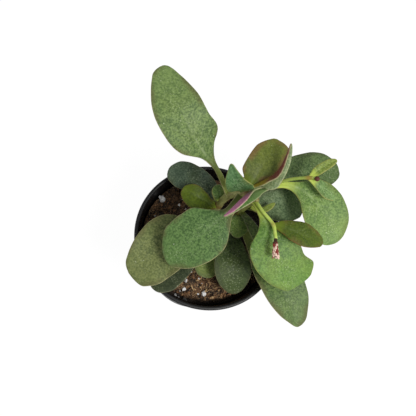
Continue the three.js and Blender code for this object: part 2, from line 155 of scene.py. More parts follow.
# %% Finish a piece
def make_piece(bm, name, material, stands_for=()):
    for face in bm.faces:
        face.smooth = True
    mesh = bpy.data.meshes.new(name)
    bm.to_mesh(mesh)
    bm.free()
    mesh.materials.append(material)
    piece = bpy.data.objects.new(name, mesh)
    bpy.context.scene.collection.objects.link(piece)
    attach(piece, "root")
    for node in stands_for:
        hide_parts(node)
    size = [round(v / MM, 1) for v in piece.dimensions]
    print(name, len(mesh.polygons), "faces, size in mm", size)
    return piece


# %% [markdown]
# ## Small helpers for shader nodes
#
# Shader networks are easier to read when a line of code says what a node does with its inputs.
# One helper adds any node, others add a bit of maths, a soft threshold or a mix of two colours,
# and the last one gives a material its colour, its roughness and a fine relief.

# %% Helpers for shader nodes
def tint(code):
    """The linear colour of a six-digit sRGB code."""
    parts = [int(code[k:k + 2], 16) / 255 for k in (0, 2, 4)]
    return (*[c / 12.92 if c <= 0.04045 else ((c + 0.055) / 1.055) ** 2.4 for c in parts], 1.0)


def fill_sockets(tree, node, sockets):
    """Links the sockets that are given another node's output, and sets the others."""
    for key, value in sockets.items():
        if isinstance(value, bpy.types.NodeSocket):
            tree.links.new(value, node.inputs[key])
        else:
            node.inputs[key].default_value = value


def add_node(tree, kind, sockets=None, **options):
    node = tree.nodes.new(kind)
    for key, value in options.items():
        setattr(node, key, value)
    fill_sockets(tree, node, sockets or {})
    return node


def maths(tree, operation, *values):
    return add_node(tree, "ShaderNodeMath", dict(enumerate(values)), operation=operation).outputs[0]


def times(tree, first, second):
    return maths(tree, "MULTIPLY", first, second)


def times_plus(tree, value, factor, more):
    return maths(tree, "MULTIPLY_ADD", value, factor, more)


def threshold(tree, value, low, high, start=0.0, end=1.0):
    """Goes smoothly from start to end while the value goes from low to high."""
    sockets = {"Value": value, "From Min": low, "From Max": high, "To Min": start, "To Max": end}
    node = add_node(tree, "ShaderNodeMapRange", sockets, interpolation_type="SMOOTHSTEP")
    return node.outputs["Result"]


def mixed(tree, factor, first, second):
    sockets = {0: factor, 6: first, 7: second}
    return add_node(tree, "ShaderNodeMix", sockets, data_type="RGBA").outputs[2]


def measured(tree, name):
    """A number that the mesh stores at each point."""
    return add_node(tree, "ShaderNodeAttribute", attribute_name=name).outputs["Fac"]


def grain(tree, place, scale, detail=2.0, roughness=0.5):
    sockets = {"Vector": place, "Scale": scale, "Detail": detail, "Roughness": roughness}
    return add_node(tree, "ShaderNodeTexNoise", sockets).outputs["Fac"]


def object_place(tree):
    return add_node(tree, "ShaderNodeTexCoord").outputs["Object"]


SOCKET_KINDS = {"colour": "NodeSocketColor", "number": "NodeSocketFloat"}


def new_group(name, inputs, outputs):
    """An empty node group with named inputs and outputs."""
    tree = bpy.data.node_groups.new(name, "ShaderNodeTree")
    for label, kind in inputs:
        tree.interface.new_socket(label, in_out="INPUT", socket_type=SOCKET_KINDS[kind])
    for label, kind in outputs:
        tree.interface.new_socket(label, in_out="OUTPUT", socket_type=SOCKET_KINDS[kind])
    taken = tree.nodes.new("NodeGroupInput").outputs
    given = tree.nodes.new("NodeGroupOutput").inputs
    return tree, taken, given


def new_material(name):
    material = bpy.data.materials.new(name)
    material.use_nodes = True
    tree = material.node_tree
    return material, tree, tree.nodes["Principled BSDF"]


def place_group(tree, group, **values):
    """Puts a group into a material, with that material's own values."""
    node = add_node(tree, "ShaderNodeGroup", node_tree=group)
    for label, value in values.items():
        node.inputs[label.replace("_", " ")].default_value = value
    return node


def finish(tree, shader, colour, roughness, height, depth):
    """The depth of the relief is in mm."""
    bump = add_node(tree, "ShaderNodeBump", {"Height": height, "Distance": depth * MM, "Strength": 1.0})
    normal = bump.outputs["Normal"]
    fill_sockets(tree, shader, {"Base Color": colour, "Roughness": roughness, "Normal": normal})


# %% [markdown]
# ## The skin of a leaf
#
# A crassula leaf is no flat green. Fine pale and dark specks cover it, with larger pale flecks
# beside the midrib and a few glints that are painted highlights. Shade is painted near the root
# of the blade and light towards its tip. All leaves share these effects, so they are built once
# as a node group, and each leaf's material fills in its own colours. The specks sit in object
# space. The rest follows numbers that each leaf's mesh stores: the distance from the margin and
# from the midrib, and the way along.

# %% Specks, clouds and flecks of a leaf
SPECK_SCALE = 800
CLOUD_SCALE = 270
PATCH_SCALE = 70
DOT_SCALE = 800
STREAK_TONE = "e4ecc8"
PAINTED_HIGHLIGHT_TONE = "cfd6bc"


def skin_patterns(tree, taken):
    """What all parts of the skin read: the noises, the dots and the numbers of the mesh."""
    place = object_place(tree)
    dots = add_node(tree, "ShaderNodeTexVoronoi", {"Vector": place, "Scale": DOT_SCALE}).outputs
    return {
        "specks": grain(tree, place, SPECK_SCALE, 3.0, 0.65),
        "clouds": grain(tree, place, CLOUD_SCALE, 3.0, 0.6),
        "patches": grain(tree, place, PATCH_SCALE, 3.0, 0.55),
        "dot": threshold(tree, dots["Distance"], 0.15, 0.4, 1.0, 0.0),
        "chance": add_node(tree, "ShaderNodeSeparateColor", {0: dots["Color"]}).outputs["Red"],
        "along": measured(tree, "along"),
        "across": maths(tree, "ABSOLUTE", measured(tree, "across")),
        "margin": measured(tree, "margin"),
        "under": measured(tree, "under"),
        "streak": mixed(tree, 0.3, taken["Pale"], tint(STREAK_TONE)),
    }


def speckled(tree, taken, seen):
    """Specks, darker and paler clouds, yellower patches, painted shade at the root, painted light at the
    tip.
    """
    clouds, patches, along = seen["clouds"], seen["patches"], seen["along"]
    speck_tone = mixed(tree, threshold(tree, seen["specks"], 0.4, 0.6), taken["Shade"], taken["Pale"])
    colour = mixed(tree, taken["Mottle"], taken["Upper"], speck_tone)
    colour = mixed(tree, threshold(tree, clouds, 0.34, 0.52, 0.35, 0.0), colour, taken["Shade"])
    colour = mixed(tree, threshold(tree, clouds, 0.5, 0.68, 0.0, 0.3), colour, taken["Pale"])
    colour = mixed(tree, threshold(tree, patches, 0.45, 0.65, 0.0, 0.12), colour, taken["Root"])
    # Painted shade near the root of the blade and painted light towards its tip.
    colour = mixed(tree, threshold(tree, along, 0.2, 0.6, 0.25, 0.0), colour, taken["Shade"])
    return mixed(tree, threshold(tree, along, 0.6, 1.0, 0.0, 0.35), colour, taken["Pale"])


def flecked(tree, taken, seen, colour):
    """Pale flecks, gathered in patches by the midrib, and a few glints painted as highlights."""
    near_rib = threshold(tree, seen["across"], 2, 11, 1.0, 0.3)
    gathered = times(tree, threshold(tree, seen["patches"], 0.34, 0.58), near_rib)
    fleck = times(tree, times(tree, seen["dot"], gathered), taken["Flecks"])
    colour = mixed(tree, fleck, colour, seen["streak"])
    # Painted highlights: a few near-white glints on the dots.
    painted_highlight = times(tree, seen["dot"], threshold(tree, seen["chance"], 0.992, 0.995, 0.0, 0.6))
    return mixed(tree, painted_highlight, colour, tint(PAINTED_HIGHLIGHT_TONE))


# %% [markdown]
# A bronze flush creeps in from the margin, uneven in width. Side veins slant away from the
# midrib, and both are thin pale lines that the clouds break up. A pattern of stripes gives all
# side veins at once, because it bends back and forth over the slanted distance.

# %% Flush and veins of a leaf
VEIN_SPACING = 3.4
VEIN_SLANT = -0.75


def margin_flush(tree, taken, seen):
    distance = maths(tree, "ADD", seen["margin"], times_plus(tree, seen["patches"], -9.0, 4.5))
    flush = threshold(tree, maths(tree, "DIVIDE", distance, taken["Border Width"]), 0.0, 1.0, 1.0, 0.0)
    flush = times(tree, flush, threshold(tree, seen["patches"], 0.42, 0.56, 0.2, 1.0))
    return times(tree, flush, taken["Border Strength"])


def side_veins(tree, seen):
    slant = times_plus(tree, seen["across"], VEIN_SLANT, measured(tree, "down"))
    slant = maths(tree, "ADD", slant, times(tree, seen["patches"], 9.0))
    vein = threshold(tree, maths(tree, "PINGPONG", slant, VEIN_SPACING), 0.1, 0.9, 0.5, 0.0)
    vein = times(tree, vein, threshold(tree, seen["margin"], 2, 6))
    vein = times(tree, vein, threshold(tree, seen["along"], 0.28, 0.4))
    return times(tree, vein, threshold(tree, seen["along"], 0.5, 0.8, 1.0, 0.2))


def midrib(tree, seen):
    width = threshold(tree, seen["along"], 0.2, 0.85, 1.7, 0.5)
    rib = threshold(tree, maths(tree, "DIVIDE", seen["across"], width), 0.1, 1.0, 1.0, 0.0)
    return times(tree, rib, threshold(tree, seen["along"], 0.35, 0.8, 1.0, 0.0))


# %% [markdown]
# The underside has a colour of its own with a pale keel, the root of the blade is yellow-green,
# and the very edge is a thin tan line. The group puts these over the rest, and gives out the
# colour, the roughness and the height of the relief.

# %% Node group for the skin of a leaf
def undersided(tree, taken, seen, colour, broken):
    """Adds the underside, the root and the line of the edge to the colour."""
    under = seen["under"]
    shaded = threshold(tree, seen["specks"], 0.2, 0.8, 0.0, 0.4)
    colour = mixed(tree, under, colour, mixed(tree, shaded, taken["Underside"], taken["Shade"]))
    way = maths(tree, "DIVIDE", times_plus(tree, seen["clouds"], 0.12, seen["along"]), taken["Root Reach"])
    root = threshold(tree, way, 0.7, 1.35, 1.0, 0.0)
    root = times(tree, root, maths(tree, "MAXIMUM", under, taken["Root Above"]))
    colour = mixed(tree, root, colour, taken["Root"])
    keel = times(tree, threshold(tree, seen["across"], 0.2, 0.7, 0.7, 0.0), under)
    edge = times(tree, threshold(tree, seen["margin"], 0.1, 0.45, 0.75, 0.0), broken)
    return mixed(tree, maths(tree, "MAXIMUM", keel, edge), colour, taken["Rim"])


def leaf_skin_group():
    colours = ["Upper", "Pale", "Shade", "Root", "Border", "Rim", "Underside"]
    numbers = ["Mottle", "Flecks", "Root Reach", "Root Above", "Border Width", "Border Strength", "Veins"]
    inputs = [(label, "colour") for label in colours] + [(label, "number") for label in numbers]
    outputs = [("Color", "colour"), ("Roughness", "number"), ("Height", "number")]
    tree, taken, given = new_group("leaf skin", inputs, outputs)
    seen = skin_patterns(tree, taken)
    colour = flecked(tree, taken, seen, speckled(tree, taken, seen))
    flush = margin_flush(tree, taken, seen)
    colour = mixed(tree, flush, colour, taken["Border"])
    vein = side_veins(tree, seen)
    broken = threshold(tree, seen["clouds"], 0.35, 0.6, 0.3, 1.0)
    lines = times(tree, maths(tree, "MAXIMUM", midrib(tree, seen), vein), broken)
    colour = mixed(tree, times(tree, lines, taken["Veins"]), colour, seen["streak"])
    tree.links.new(undersided(tree, taken, seen, colour, broken), given["Color"])
    dull = times_plus(tree, seen["patches"], 0.2, 0.38)
    tree.links.new(times_plus(tree, flush, 0.1, dull), given["Roughness"])
    relief = times_plus(tree, seen["specks"], 0.6, times(tree, seen["dot"], 0.25))
    relief = times_plus(tree, vein, -0.8, relief)
    tree.links.new(times_plus(tree, seen["clouds"], 1.6, relief), given["Height"])
    return tree


leaf_skin = leaf_skin_group()
print("leaf skin:", len(leaf_skin.nodes), "nodes")

# %% [markdown]
# Each leaf's material starts from the colour of its upper side. The pale and the dark specks
# are lighter and darker mixes of it, and the tone of the leaf gives the rest: a green one is
# yellow-green at its root, an olive one has a reddish margin, a dark one is dull and bluish,
# and the two folded ones are pink or dark red underneath. Where a leaf has a "skin" of its own in
# the tables below, those values take the place of its tone's. A leaf is waxy and shines little.

# %% Leaf materials
TONES = {
    "mid": {"root": "828e47", "border": "5f5c38", "rim": "b8ae80", "under": "7f8e58",
            "mottle": 0.85, "flecks": 0.6, "reach": 0.3, "width": 4, "flush": 0.6, "veins": 0.2},
    "bright": {"root": "bccf5e", "border": "6f7a3a", "rim": "a8a25c", "under": "86a05c",
               "mottle": 0.75, "flecks": 0.7, "reach": 0.3, "width": 3, "flush": 0.4, "veins": 0.3},
    "olive": {"root": "667a20", "border": "865840", "rim": "8a5434", "under": "6f7236",
              "mottle": 0.5, "flecks": 0.2, "reach": 0.24, "width": 4, "flush": 0.28, "veins": 0.1},
    "dark": {"root": "66722e", "border": "41442e", "rim": "8c8a66", "under": "4f5c3e",
             "mottle": 0.8, "flecks": 0.6, "reach": 0.22, "width": 3, "flush": 0.45, "veins": 0.15},
    "pink": {"root": "6d8850", "border": "6a7648", "rim": "b9b48c", "under": "dc82b4",
             "mottle": 0.7, "flecks": 0.4, "reach": 0.5, "width": 3, "flush": 0.2, "veins": 0.1},
    "red": {"root": "9c8c2e", "border": "8d9a78", "rim": "b0ac84", "under": "741722",
            "mottle": 0.7, "flecks": 0.4, "reach": 0.36, "width": 3, "flush": 0.2, "veins": 0.1,
            "above": 0.1},
}
PALE_LIFT = (1.6, 1.5, 1.5)
SHADE_DROP = (0.5, 0.58, 0.52)
LEAF_SHINE = 0.22
LEAF_RELIEF = 0.12


def leaf_material(leaf):
    values = {**TONES[leaf["tone"]], **leaf.get("skin", {})}
    green = tint(leaf["upper"])
    material, tree, shader = new_material(leaf["name"] + "_skin")
    skin = place_group(
        tree, leaf_skin,
        Upper=green,
        Pale=(*[min(c * lift, 1) for c, lift in zip(green, PALE_LIFT)], 1),
        Shade=(*[c * drop for c, drop in zip(green, SHADE_DROP)], 1),
        Root=tint(values["root"]), Border=tint(values["border"]), Rim=tint(values["rim"]),
        Underside=tint(values["under"]),
        Mottle=values["mottle"], Flecks=values["flecks"], Root_Reach=values["reach"],
        Border_Width=values["width"], Border_Strength=values["flush"], Veins=values["veins"],
        Root_Above=values.get("above", 1.0),
    )
    looks = [skin.outputs[label] for label in ("Color", "Roughness", "Height")]
    finish(tree, shader, *looks, LEAF_RELIEF)
    shader.inputs["Specular IOR Level"].default_value = LEAF_SHINE
    return material


# %% [markdown]
# ## The blade of a leaf
#
# A leaf is a long channelled root that widens into a flat oval plate about two millimetres
# thick, thinner towards its tip and rounded at its edge. It could be sculpted, or cut from a
# plane with a modifier for its thickness. Here a grid gets its wall from solidify while it is
# still flat and square, and each point is then carried to its place on the leaf: along the
# midrib, out to the measured half width, up by the fold, the cup and the ripple of the margin.
# That way all leaves come from one short function. The numbers are those of the plain solids,
# except that the dark leaf at the right is a millimetre wider, up to the leaf in front of it.

# %% Half widths along a leaf
WIDTH_AT = [0, 0.14, 0.26, 0.36, 0.46, 0.6, 0.74, 0.86, 0.95]


def slope_at(values, k):
    """The slope of a half width at its k-th place."""
    def rise(i):
        return (values[i + 1] - values[i]) / (WIDTH_AT[i + 1] - WIDTH_AT[i])
    if k == 0:
        return rise(0)
    if k == len(values) - 1:
        return 1.5 * rise(k - 1) - 0.5 * slope_at(values, k - 1)
    before = WIDTH_AT[k] - WIDTH_AT[k - 1]
    after = WIDTH_AT[k + 1] - WIDTH_AT[k]
    return (rise(k - 1) * after + rise(k) * before) / (before + after)


def read_smoothly(values, s):
    k = 0
    while k < len(WIDTH_AT) - 2 and s > WIDTH_AT[k + 1]:
        k += 1
    span = WIDTH_AT[k + 1] - WIDTH_AT[k]
    t = (s - WIDTH_AT[k]) / span
    leave = span * slope_at(values, k)
    arrive = span * slope_at(values, k + 1)
    rise = values[k + 1] - values[k]
    return values[k] + t * (leave + t * (3 * rise - 2 * leave - arrive + t * (leave + arrive - 2 * rise)))


def half_width(widths, s):
    """In mm. Beyond the last measured place the margin goes on smoothly into a round tip."""
    last = WIDTH_AT[-1]
    if s <= last:
        return read_smoothly(widths, s)
    t = (s - last) / (1 - last)
    fall = min(0.9, max(0, -slope_at(widths, len(widths) - 1) * (1 - last) / widths[-1]))
    return widths[-1] * math.sqrt(max(0, (1 - t) * (1 + (1 - 2 * fall) * t)))


# %% [markdown]
# The rows of the grid are spread so that the tip is as round as the rest, and the columns are
# crowded towards the margins, where the edge is rounded. The thickness falls to nothing at
# the very edge like the side of a circle, so the upper and the lower sheet meet there and
# can be merged. A shallow groove follows the midrib above, and a low ridge below.

# %% Place the points of a leaf
LEAF_MIDDLE = 2.0
LEAF_MARGIN = 0.9
TIP_THINNING = 0.55
RIGHT_MARGIN_LAG = 2.1
TIP_ROWS = 0.2
EDGE_ROUNDING = 0.5
CREASE_ROUNDING = 0.5
CREASE_ROOM = 0.8
GROOVE_DEPTH = 0.28
RIDGE_HEIGHT = 0.35
UNEVENNESS = 0.3
EDGE_WOBBLE = 0.15
WOBBLE_SIZE = 5
UNEVEN_SIZE = 9
RIB_WIDTH = 0.9


def along_share(row):
    """The place along the midrib for a row of the grid, from 0 at the root to 1 at the tip."""
    last = WIDTH_AT[-1]
    if row < 1 - TIP_ROWS:
        return last * row / (1 - TIP_ROWS)
    return last + (1 - last) * math.sin((row - 1 + TIP_ROWS) / TIP_ROWS * math.pi / 2)


def across_share(column):
    """The share of the half width for a column of the grid, crowded towards the margins."""
    return column * (1.5 - 0.5 * column * column)


def leaf_frame(leaf, path, s):
    ahead = path.ahead(s)
    side = Vector(leaf.get("face", (0, 0, 1))).cross(ahead).normalized()
    normal = ahead.cross(side)
    roll = Matrix.Rotation(math.radians(leaf.get("lean", 0)), 3, ahead)
    return path.at(s), roll @ side, roll @ normal


def leaf_point(leaf, station, s, u, face, seed):
    """The place of a point in metres, and the numbers that its material reads, in mm."""
    middle, side, normal = station
    half = half_width(leaf["left"] if u > 0 else leaf["right"], s)
    blade = smooth_step(s, 0.1, 0.3)
    wobble = noise.noise(Vector((s * leaf["length"] / WOBBLE_SIZE, math.copysign(3, u) + seed, 0.5)))
    half += EDGE_WOBBLE * wobble * blade * min(1, half / 4)
    out = abs(u) * half
    fold = math.radians(leaf.get("fold", 0) * (1 if leaf.get("folded_root") else blade))
    height, count, phase = leaf.get("wave", (0, 1, 0))
    ripple = height * math.sin(2 * math.pi * count * s + phase + (0 if u > 0 else RIGHT_MARGIN_LAG))
    crease = math.hypot(out, CREASE_ROUNDING)
    rise = (crease - CREASE_ROUNDING) * math.sin(fold) + (leaf.get("cup", 0) + ripple) * blade * u * u
    spot = Vector((u * half / UNEVEN_SIZE, s * leaf["length"] / UNEVEN_SIZE, seed))
    rise += UNEVENNESS * blade * noise.noise(spot)
    to_edge = (1 - abs(u)) * half
    to_tip = (1 - s) * leaf["length"]
    margin = min(to_edge, to_tip)
    round_off = 1 - min(margin / EDGE_ROUNDING, 1)
    thick = LEAF_MARGIN + (LEAF_MIDDLE - LEAF_MARGIN) * (1 - u * u) * (1 - TIP_THINNING * s)
    depth = thick / 2 * math.sqrt(1 - round_off * round_off)
    rib = math.exp(-(out / RIB_WIDTH) ** 2) * (1 - 0.8 * s)
    if face > 0:
        depth -= min(GROOVE_DEPTH, 0.3 * depth) * rib
        if fold > 0.01:
            depth = min(depth, CREASE_ROOM * max(out, 0.35) / math.tan(fold))
    else:
        depth += RIDGE_HEIGHT * rib * min(1, margin)
    lean_out = math.copysign(out / crease, u) * math.sin(fold)
    outward = (normal * math.sqrt(1 - lean_out * lean_out) - side * lean_out)
    place = middle + (side * u * half * math.cos(fold) + normal * rise + outward * face * depth) * MM
    return place, margin, u * half


# %% Grow a leaf from a flat slab
LEAF_ROWS = 60
LEAF_COLUMNS = 26
EDGES_MEET = 0.002


def grow_leaf(leaf, number):
    path = Path(leaf["rib"])
    leaf["length"] = path.length / MM
    bm = bmesh.new()
    bmesh.ops.create_grid(bm, x_segments=LEAF_COLUMNS, y_segments=LEAF_ROWS, size=1)
    bmesh.ops.solidify(bm, geom=bm.faces[:], thickness=0.1)
    middle = sum(v.co.z for v in bm.verts) / len(bm.verts)
    layers = {n: bm.verts.layers.float.new(n) for n in ("along", "down", "across", "margin", "under")}
    stations = {}
    for vert in bm.verts:
        row = round((vert.co.y + 1) / 2, 4)
        if row not in stations:
            s = along_share(row)
            stations[row] = (s, leaf_frame(leaf, path, s))
        s, station = stations[row]
        u = -across_share(vert.co.x)
        face = 1 if vert.co.z > middle else -1
        vert.co, margin, across = leaf_point(leaf, station, s, u, face, number)
        vert[layers["along"]] = s
        vert[layers["down"]] = s * leaf["length"]
        vert[layers["across"]] = across
        vert[layers["margin"]] = margin
        vert[layers["under"]] = 0.0 if face > 0 else 1.0
    bmesh.ops.remove_doubles(bm, verts=bm.verts[:], dist=EDGES_MEET * MM)
    bmesh.ops.recalc_face_normals(bm, faces=bm.faces[:])
    piece = make_piece(bm, leaf["name"] + "_blade", leaf_material(leaf), [leaf["name"]])
    low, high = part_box(leaf["name"])
    fine = [Vector(corner) for corner in piece.bound_box]
    off = max(abs(min(c[k] for c in fine) - low[k]) for k in range(3))
    off = max(off, *[abs(max(c[k] for c in fine) - high[k]) for k in range(3)])
    print("  length", round(leaf["length"]), "mm, box differs by", round(off / MM, 1), "mm")


def grow_leaves(leaves, first_number):
    for number, leaf in enumerate(leaves, first_number):
        grow_leaf(leaf, number)


# %% [markdown]
# ## The upper leaves
#
# These spread from the top of the main stem. The tall one reaches up and back over the rim, the
# large round one leans to the front left, and a pointed one stands up between them. A leaf is
# given by its midrib and its half widths to the left and the right of it, in mm. The right side
# is left out where it is like the left one.

# %% Upper leaves of the main stem
def leaf(name, tone, upper, rib, left, right=None, **more):
    row = {"name": name, "tone": tone, "upper": upper, "rib": rib, "left": left}
    return {**row, "right": right or left, **more}


UPPER_LEAVES = [
    leaf(
        "leaf_01_tall_upper_left", "mid", "6a824b", fold=6, wave=(1, 1.5, 0.5), skin={"veins": 0.5},
        rib=[(8.5, 18.5, 117), (-1, 31.5, 128), (-13, 41, 140), (-25.5, 58, 152), (-38, 85.5, 157)],
        left=[1.8, 1.6, 1.8, 3.8, 12.6, 16.8, 16.8, 13, 8.8],
        right=[1.8, 2.2, 3.2, 9, 15.6, 14.4, 13.8, 10.2, 6],
    ),
    leaf(
        "leaf_05_large_front_left", "mid", "597843", fold=3, cup=-1, wave=(0.8, 1.2, 0),
        skin={"root": "56642f"},
        rib=[(14.5, 17.3, 127), (8, 7, 128.5), (-2.5, -3, 126.5), (-15.5, -14, 121), (-30.5, -24, 113)],
        left=[2, 3, 4.5, 10, 14.5, 16, 14.5, 11.5, 7],
        right=[2, 2.5, 3.5, 9, 16, 18, 18, 16, 10],
    ),
    leaf(
        "leaf_08_central", "bright", "4f7346", face=(-0.3, -0.6, 1), fold=12,
        skin={"veins": 0.1, "root": "4f6634"},
        rib=[(15.5, 17.6, 129), (12.2, 17.4, 138.5), (7.6, 19.4, 148), (3.5, 26.5, 153)],
        left=[2, 2.6, 5, 8, 8.5, 8, 6.5, 4, 2],
        right=[2, 5, 8, 8, 7, 5, 3.5, 2.3, 1.5],
    ),
    leaf(
        "leaf_09_olive_top", "olive", "647030", fold=8, skin={"flush": 0.5},
        rib=[(17, 17.8, 131), (21.5, 24, 134), (27, 34, 137), (37.5, 51, 135)],
        left=[2, 6, 10, 10.5, 10.5, 10.3, 9.2, 6.6, 4],
        right=[1.6, 1.8, 4.8, 8, 10.4, 11.3, 11.6, 11.2, 8.2],
    ),
]
grow_leaves(UPPER_LEAVES, 0)

# %% [markdown]
# ## The two folded leaves
#
# Two young leaves at the very top are still folded along their midribs like half-closed books.
# One shows the magenta of its underside, the other a dark red one, each beside a green strip of
# the upper side. They come from the same function, with a steep fold and a lean to one side.

# %% Folded leaves
FOLDED_LEAVES = [
    leaf(
        "leaf_06_folded_pink", "pink", "618246", fold=72, folded_root=True, lean=-47,
        rib=[(33.4, 20.6, 134.5), (29, 19.6, 134.4), (22, 17.4, 135), (12.5, 9.4, 137.2), (2.2, -1, 136)],
        left=[1.4, 3.4, 5.4, 6.5, 6.6, 6, 4.6, 3.2, 2],
        right=[1.2, 1.2, 1.3, 1.8, 3.6, 6, 6.2, 4.6, 2.6],
    ),
    leaf(
        "leaf_07_folded_red", "red", "92a67b", fold=70, folded_root=True, lean=50,
        rib=[
            (19.8, 18.8, 132.8), (25.6, 21.2, 137), (31, 23.6, 142), (35.2, 27.8, 146.5),
            (38.6, 35, 149.5), (41.4, 42.8, 150),
        ],
        left=[1.4, 4.4, 6.6, 5.6, 6.2, 3.6, 2.2, 1.2, 0.8],
        right=[1.2, 1.4, 6.8, 8.4, 6.6, 4.7, 3.8, 2.6, 1.6],
    ),
]
grow_leaves(FOLDED_LEAVES, 10)

# %% [markdown]
# ## The leaves of the flower stalks and the branch
#
# The right stalk carries a wide leaf that hangs over the rim, a dark one behind it and two
# small ones near its end. The front stalk and the branch below it carry a bright round leaf,
# an oval olive one, a large one that reaches far out over the rim, and a tiny young one.

# %% Leaves on the right and in front
STALK_LEAVES = [
    leaf(
        "leaf_10_small_folded_right", "bright", "809644", fold=25,
        rib=[(54.3, 24.6, 142.3), (59.3, 28.2, 145.5), (64.5, 31.2, 148), (69.5, 33.5, 150)],
        left=[1.1, 2, 3, 3.2, 3.2, 3.2, 3, 2.4, 1.5],
    ),
    leaf(
        "leaf_11_small_right", "bright", "709056", fold=6,
        rib=[(53.8, 23.9, 141.6), (60, 20.5, 139.5), (66, 17, 137), (72, 13.5, 135)],
        left=[1.1, 2.5, 3.5, 4.5, 5, 5.5, 5, 4, 2.5],
        right=[1.1, 1.5, 2.5, 3, 3.5, 4, 4, 3, 2],
    ),
    leaf(
        "leaf_12_oval_front_right", "olive", "4d611b", fold=4,
        rib=[(33, -3.7, 131.9), (41.5, -6.5, 134), (52, -11, 135), (63.5, -14.5, 132.5)],
        left=[1.1, 4, 5.5, 6.5, 7.5, 8, 7, 5.5, 3.5],
        right=[1.1, 3, 4.5, 6, 6.5, 7, 6, 4.5, 3],
    ),
    leaf(
        "leaf_13_large_right", "bright", "708e4e", fold=4, wave=(0.8, 1.3, 1), skin={"veins": 0.6},
        rib=[(31, 20.2, 131.3), (41.5, 22.5, 131.5), (55.5, 18, 130), (68, 5.5, 125), (76, -10.5, 117)],
        left=[1.2, 2, 3.5, 8, 14.6, 17.4, 16, 12.6, 8],
        right=[1.2, 2, 3, 6.5, 11, 14.5, 14.5, 12, 8],
    ),
    leaf(
        "leaf_14_bright_front", "bright", "63863f", fold=3, wave=(0.8, 1.4, 2), skin={"veins": 0.4},
        rib=[(23.5, 15, 119), (27, 5, 126), (32, -8, 128), (39.5, -24, 124), (48, -40, 116)],
        left=[1.6, 2, 3, 5, 9, 14.5, 15, 19, 15.4],
        right=[1.6, 2, 3, 7, 15.5, 18, 16, 12, 7],
    ),
    leaf(
        "leaf_15_dark_upper_right", "dark", "576e42", fold=8,
        rib=[(27.5, 19.4, 130.2), (38, 27, 125.5), (50, 32, 123), (66, 37, 121), (83, 39.5, 116)],
        left=[1.2, 2, 4, 8, 12, 13, 12.5, 10.5, 7],
        right=[1.2, 2, 4, 7, 10, 11.5, 12, 10, 6],
    ),
    leaf(
        "leaf_16_dark_right", "dark", "697e5c", fold=10,
        rib=[(21, 14.5, 107), (30, 15.5, 111), (42, 16.5, 112), (59, 13.5, 108)],
        left=[1.6, 3.5, 6, 8, 9.5, 11, 12, 9.5, 6],
        right=[1.6, 4, 8, 11, 12.3, 13.2, 11.7, 9, 6],
    ),
    leaf(
        "leaf_20_bottom_right", "mid", "5b7440", fold=6,
        rib=[(17.5, 13, 90), (25, -1, 96), (37, -19, 99), (47, -39, 98), (58, -60.3, 92)],
        left=[2, 3, 6, 10, 14, 16.2, 15.6, 12.8, 8],
        right=[2, 3, 6, 9.4, 12.6, 13.2, 12, 8.8, 4.6],
    ),
    leaf(
        "leaf_24_tiny_young", "bright", "748a3c", fold=15,
        rib=[(23.6, 12.8, 113), (29, 10, 115.5), (33.5, 11.2, 118.5), (37.6, 14.1, 120.5)],
        left=[1.2, 1.5, 1.8, 2, 2.1, 2.1, 2, 1.6, 1],
    ),
]
grow_leaves(STALK_LEAVES, 20)

# %% [markdown]
# ## The lower leaves
#
# Older leaves grow from low on the stems, spread just above the rim and lie in the shade of
# the upper ones. The large one on the left has the most rippled margin of all.

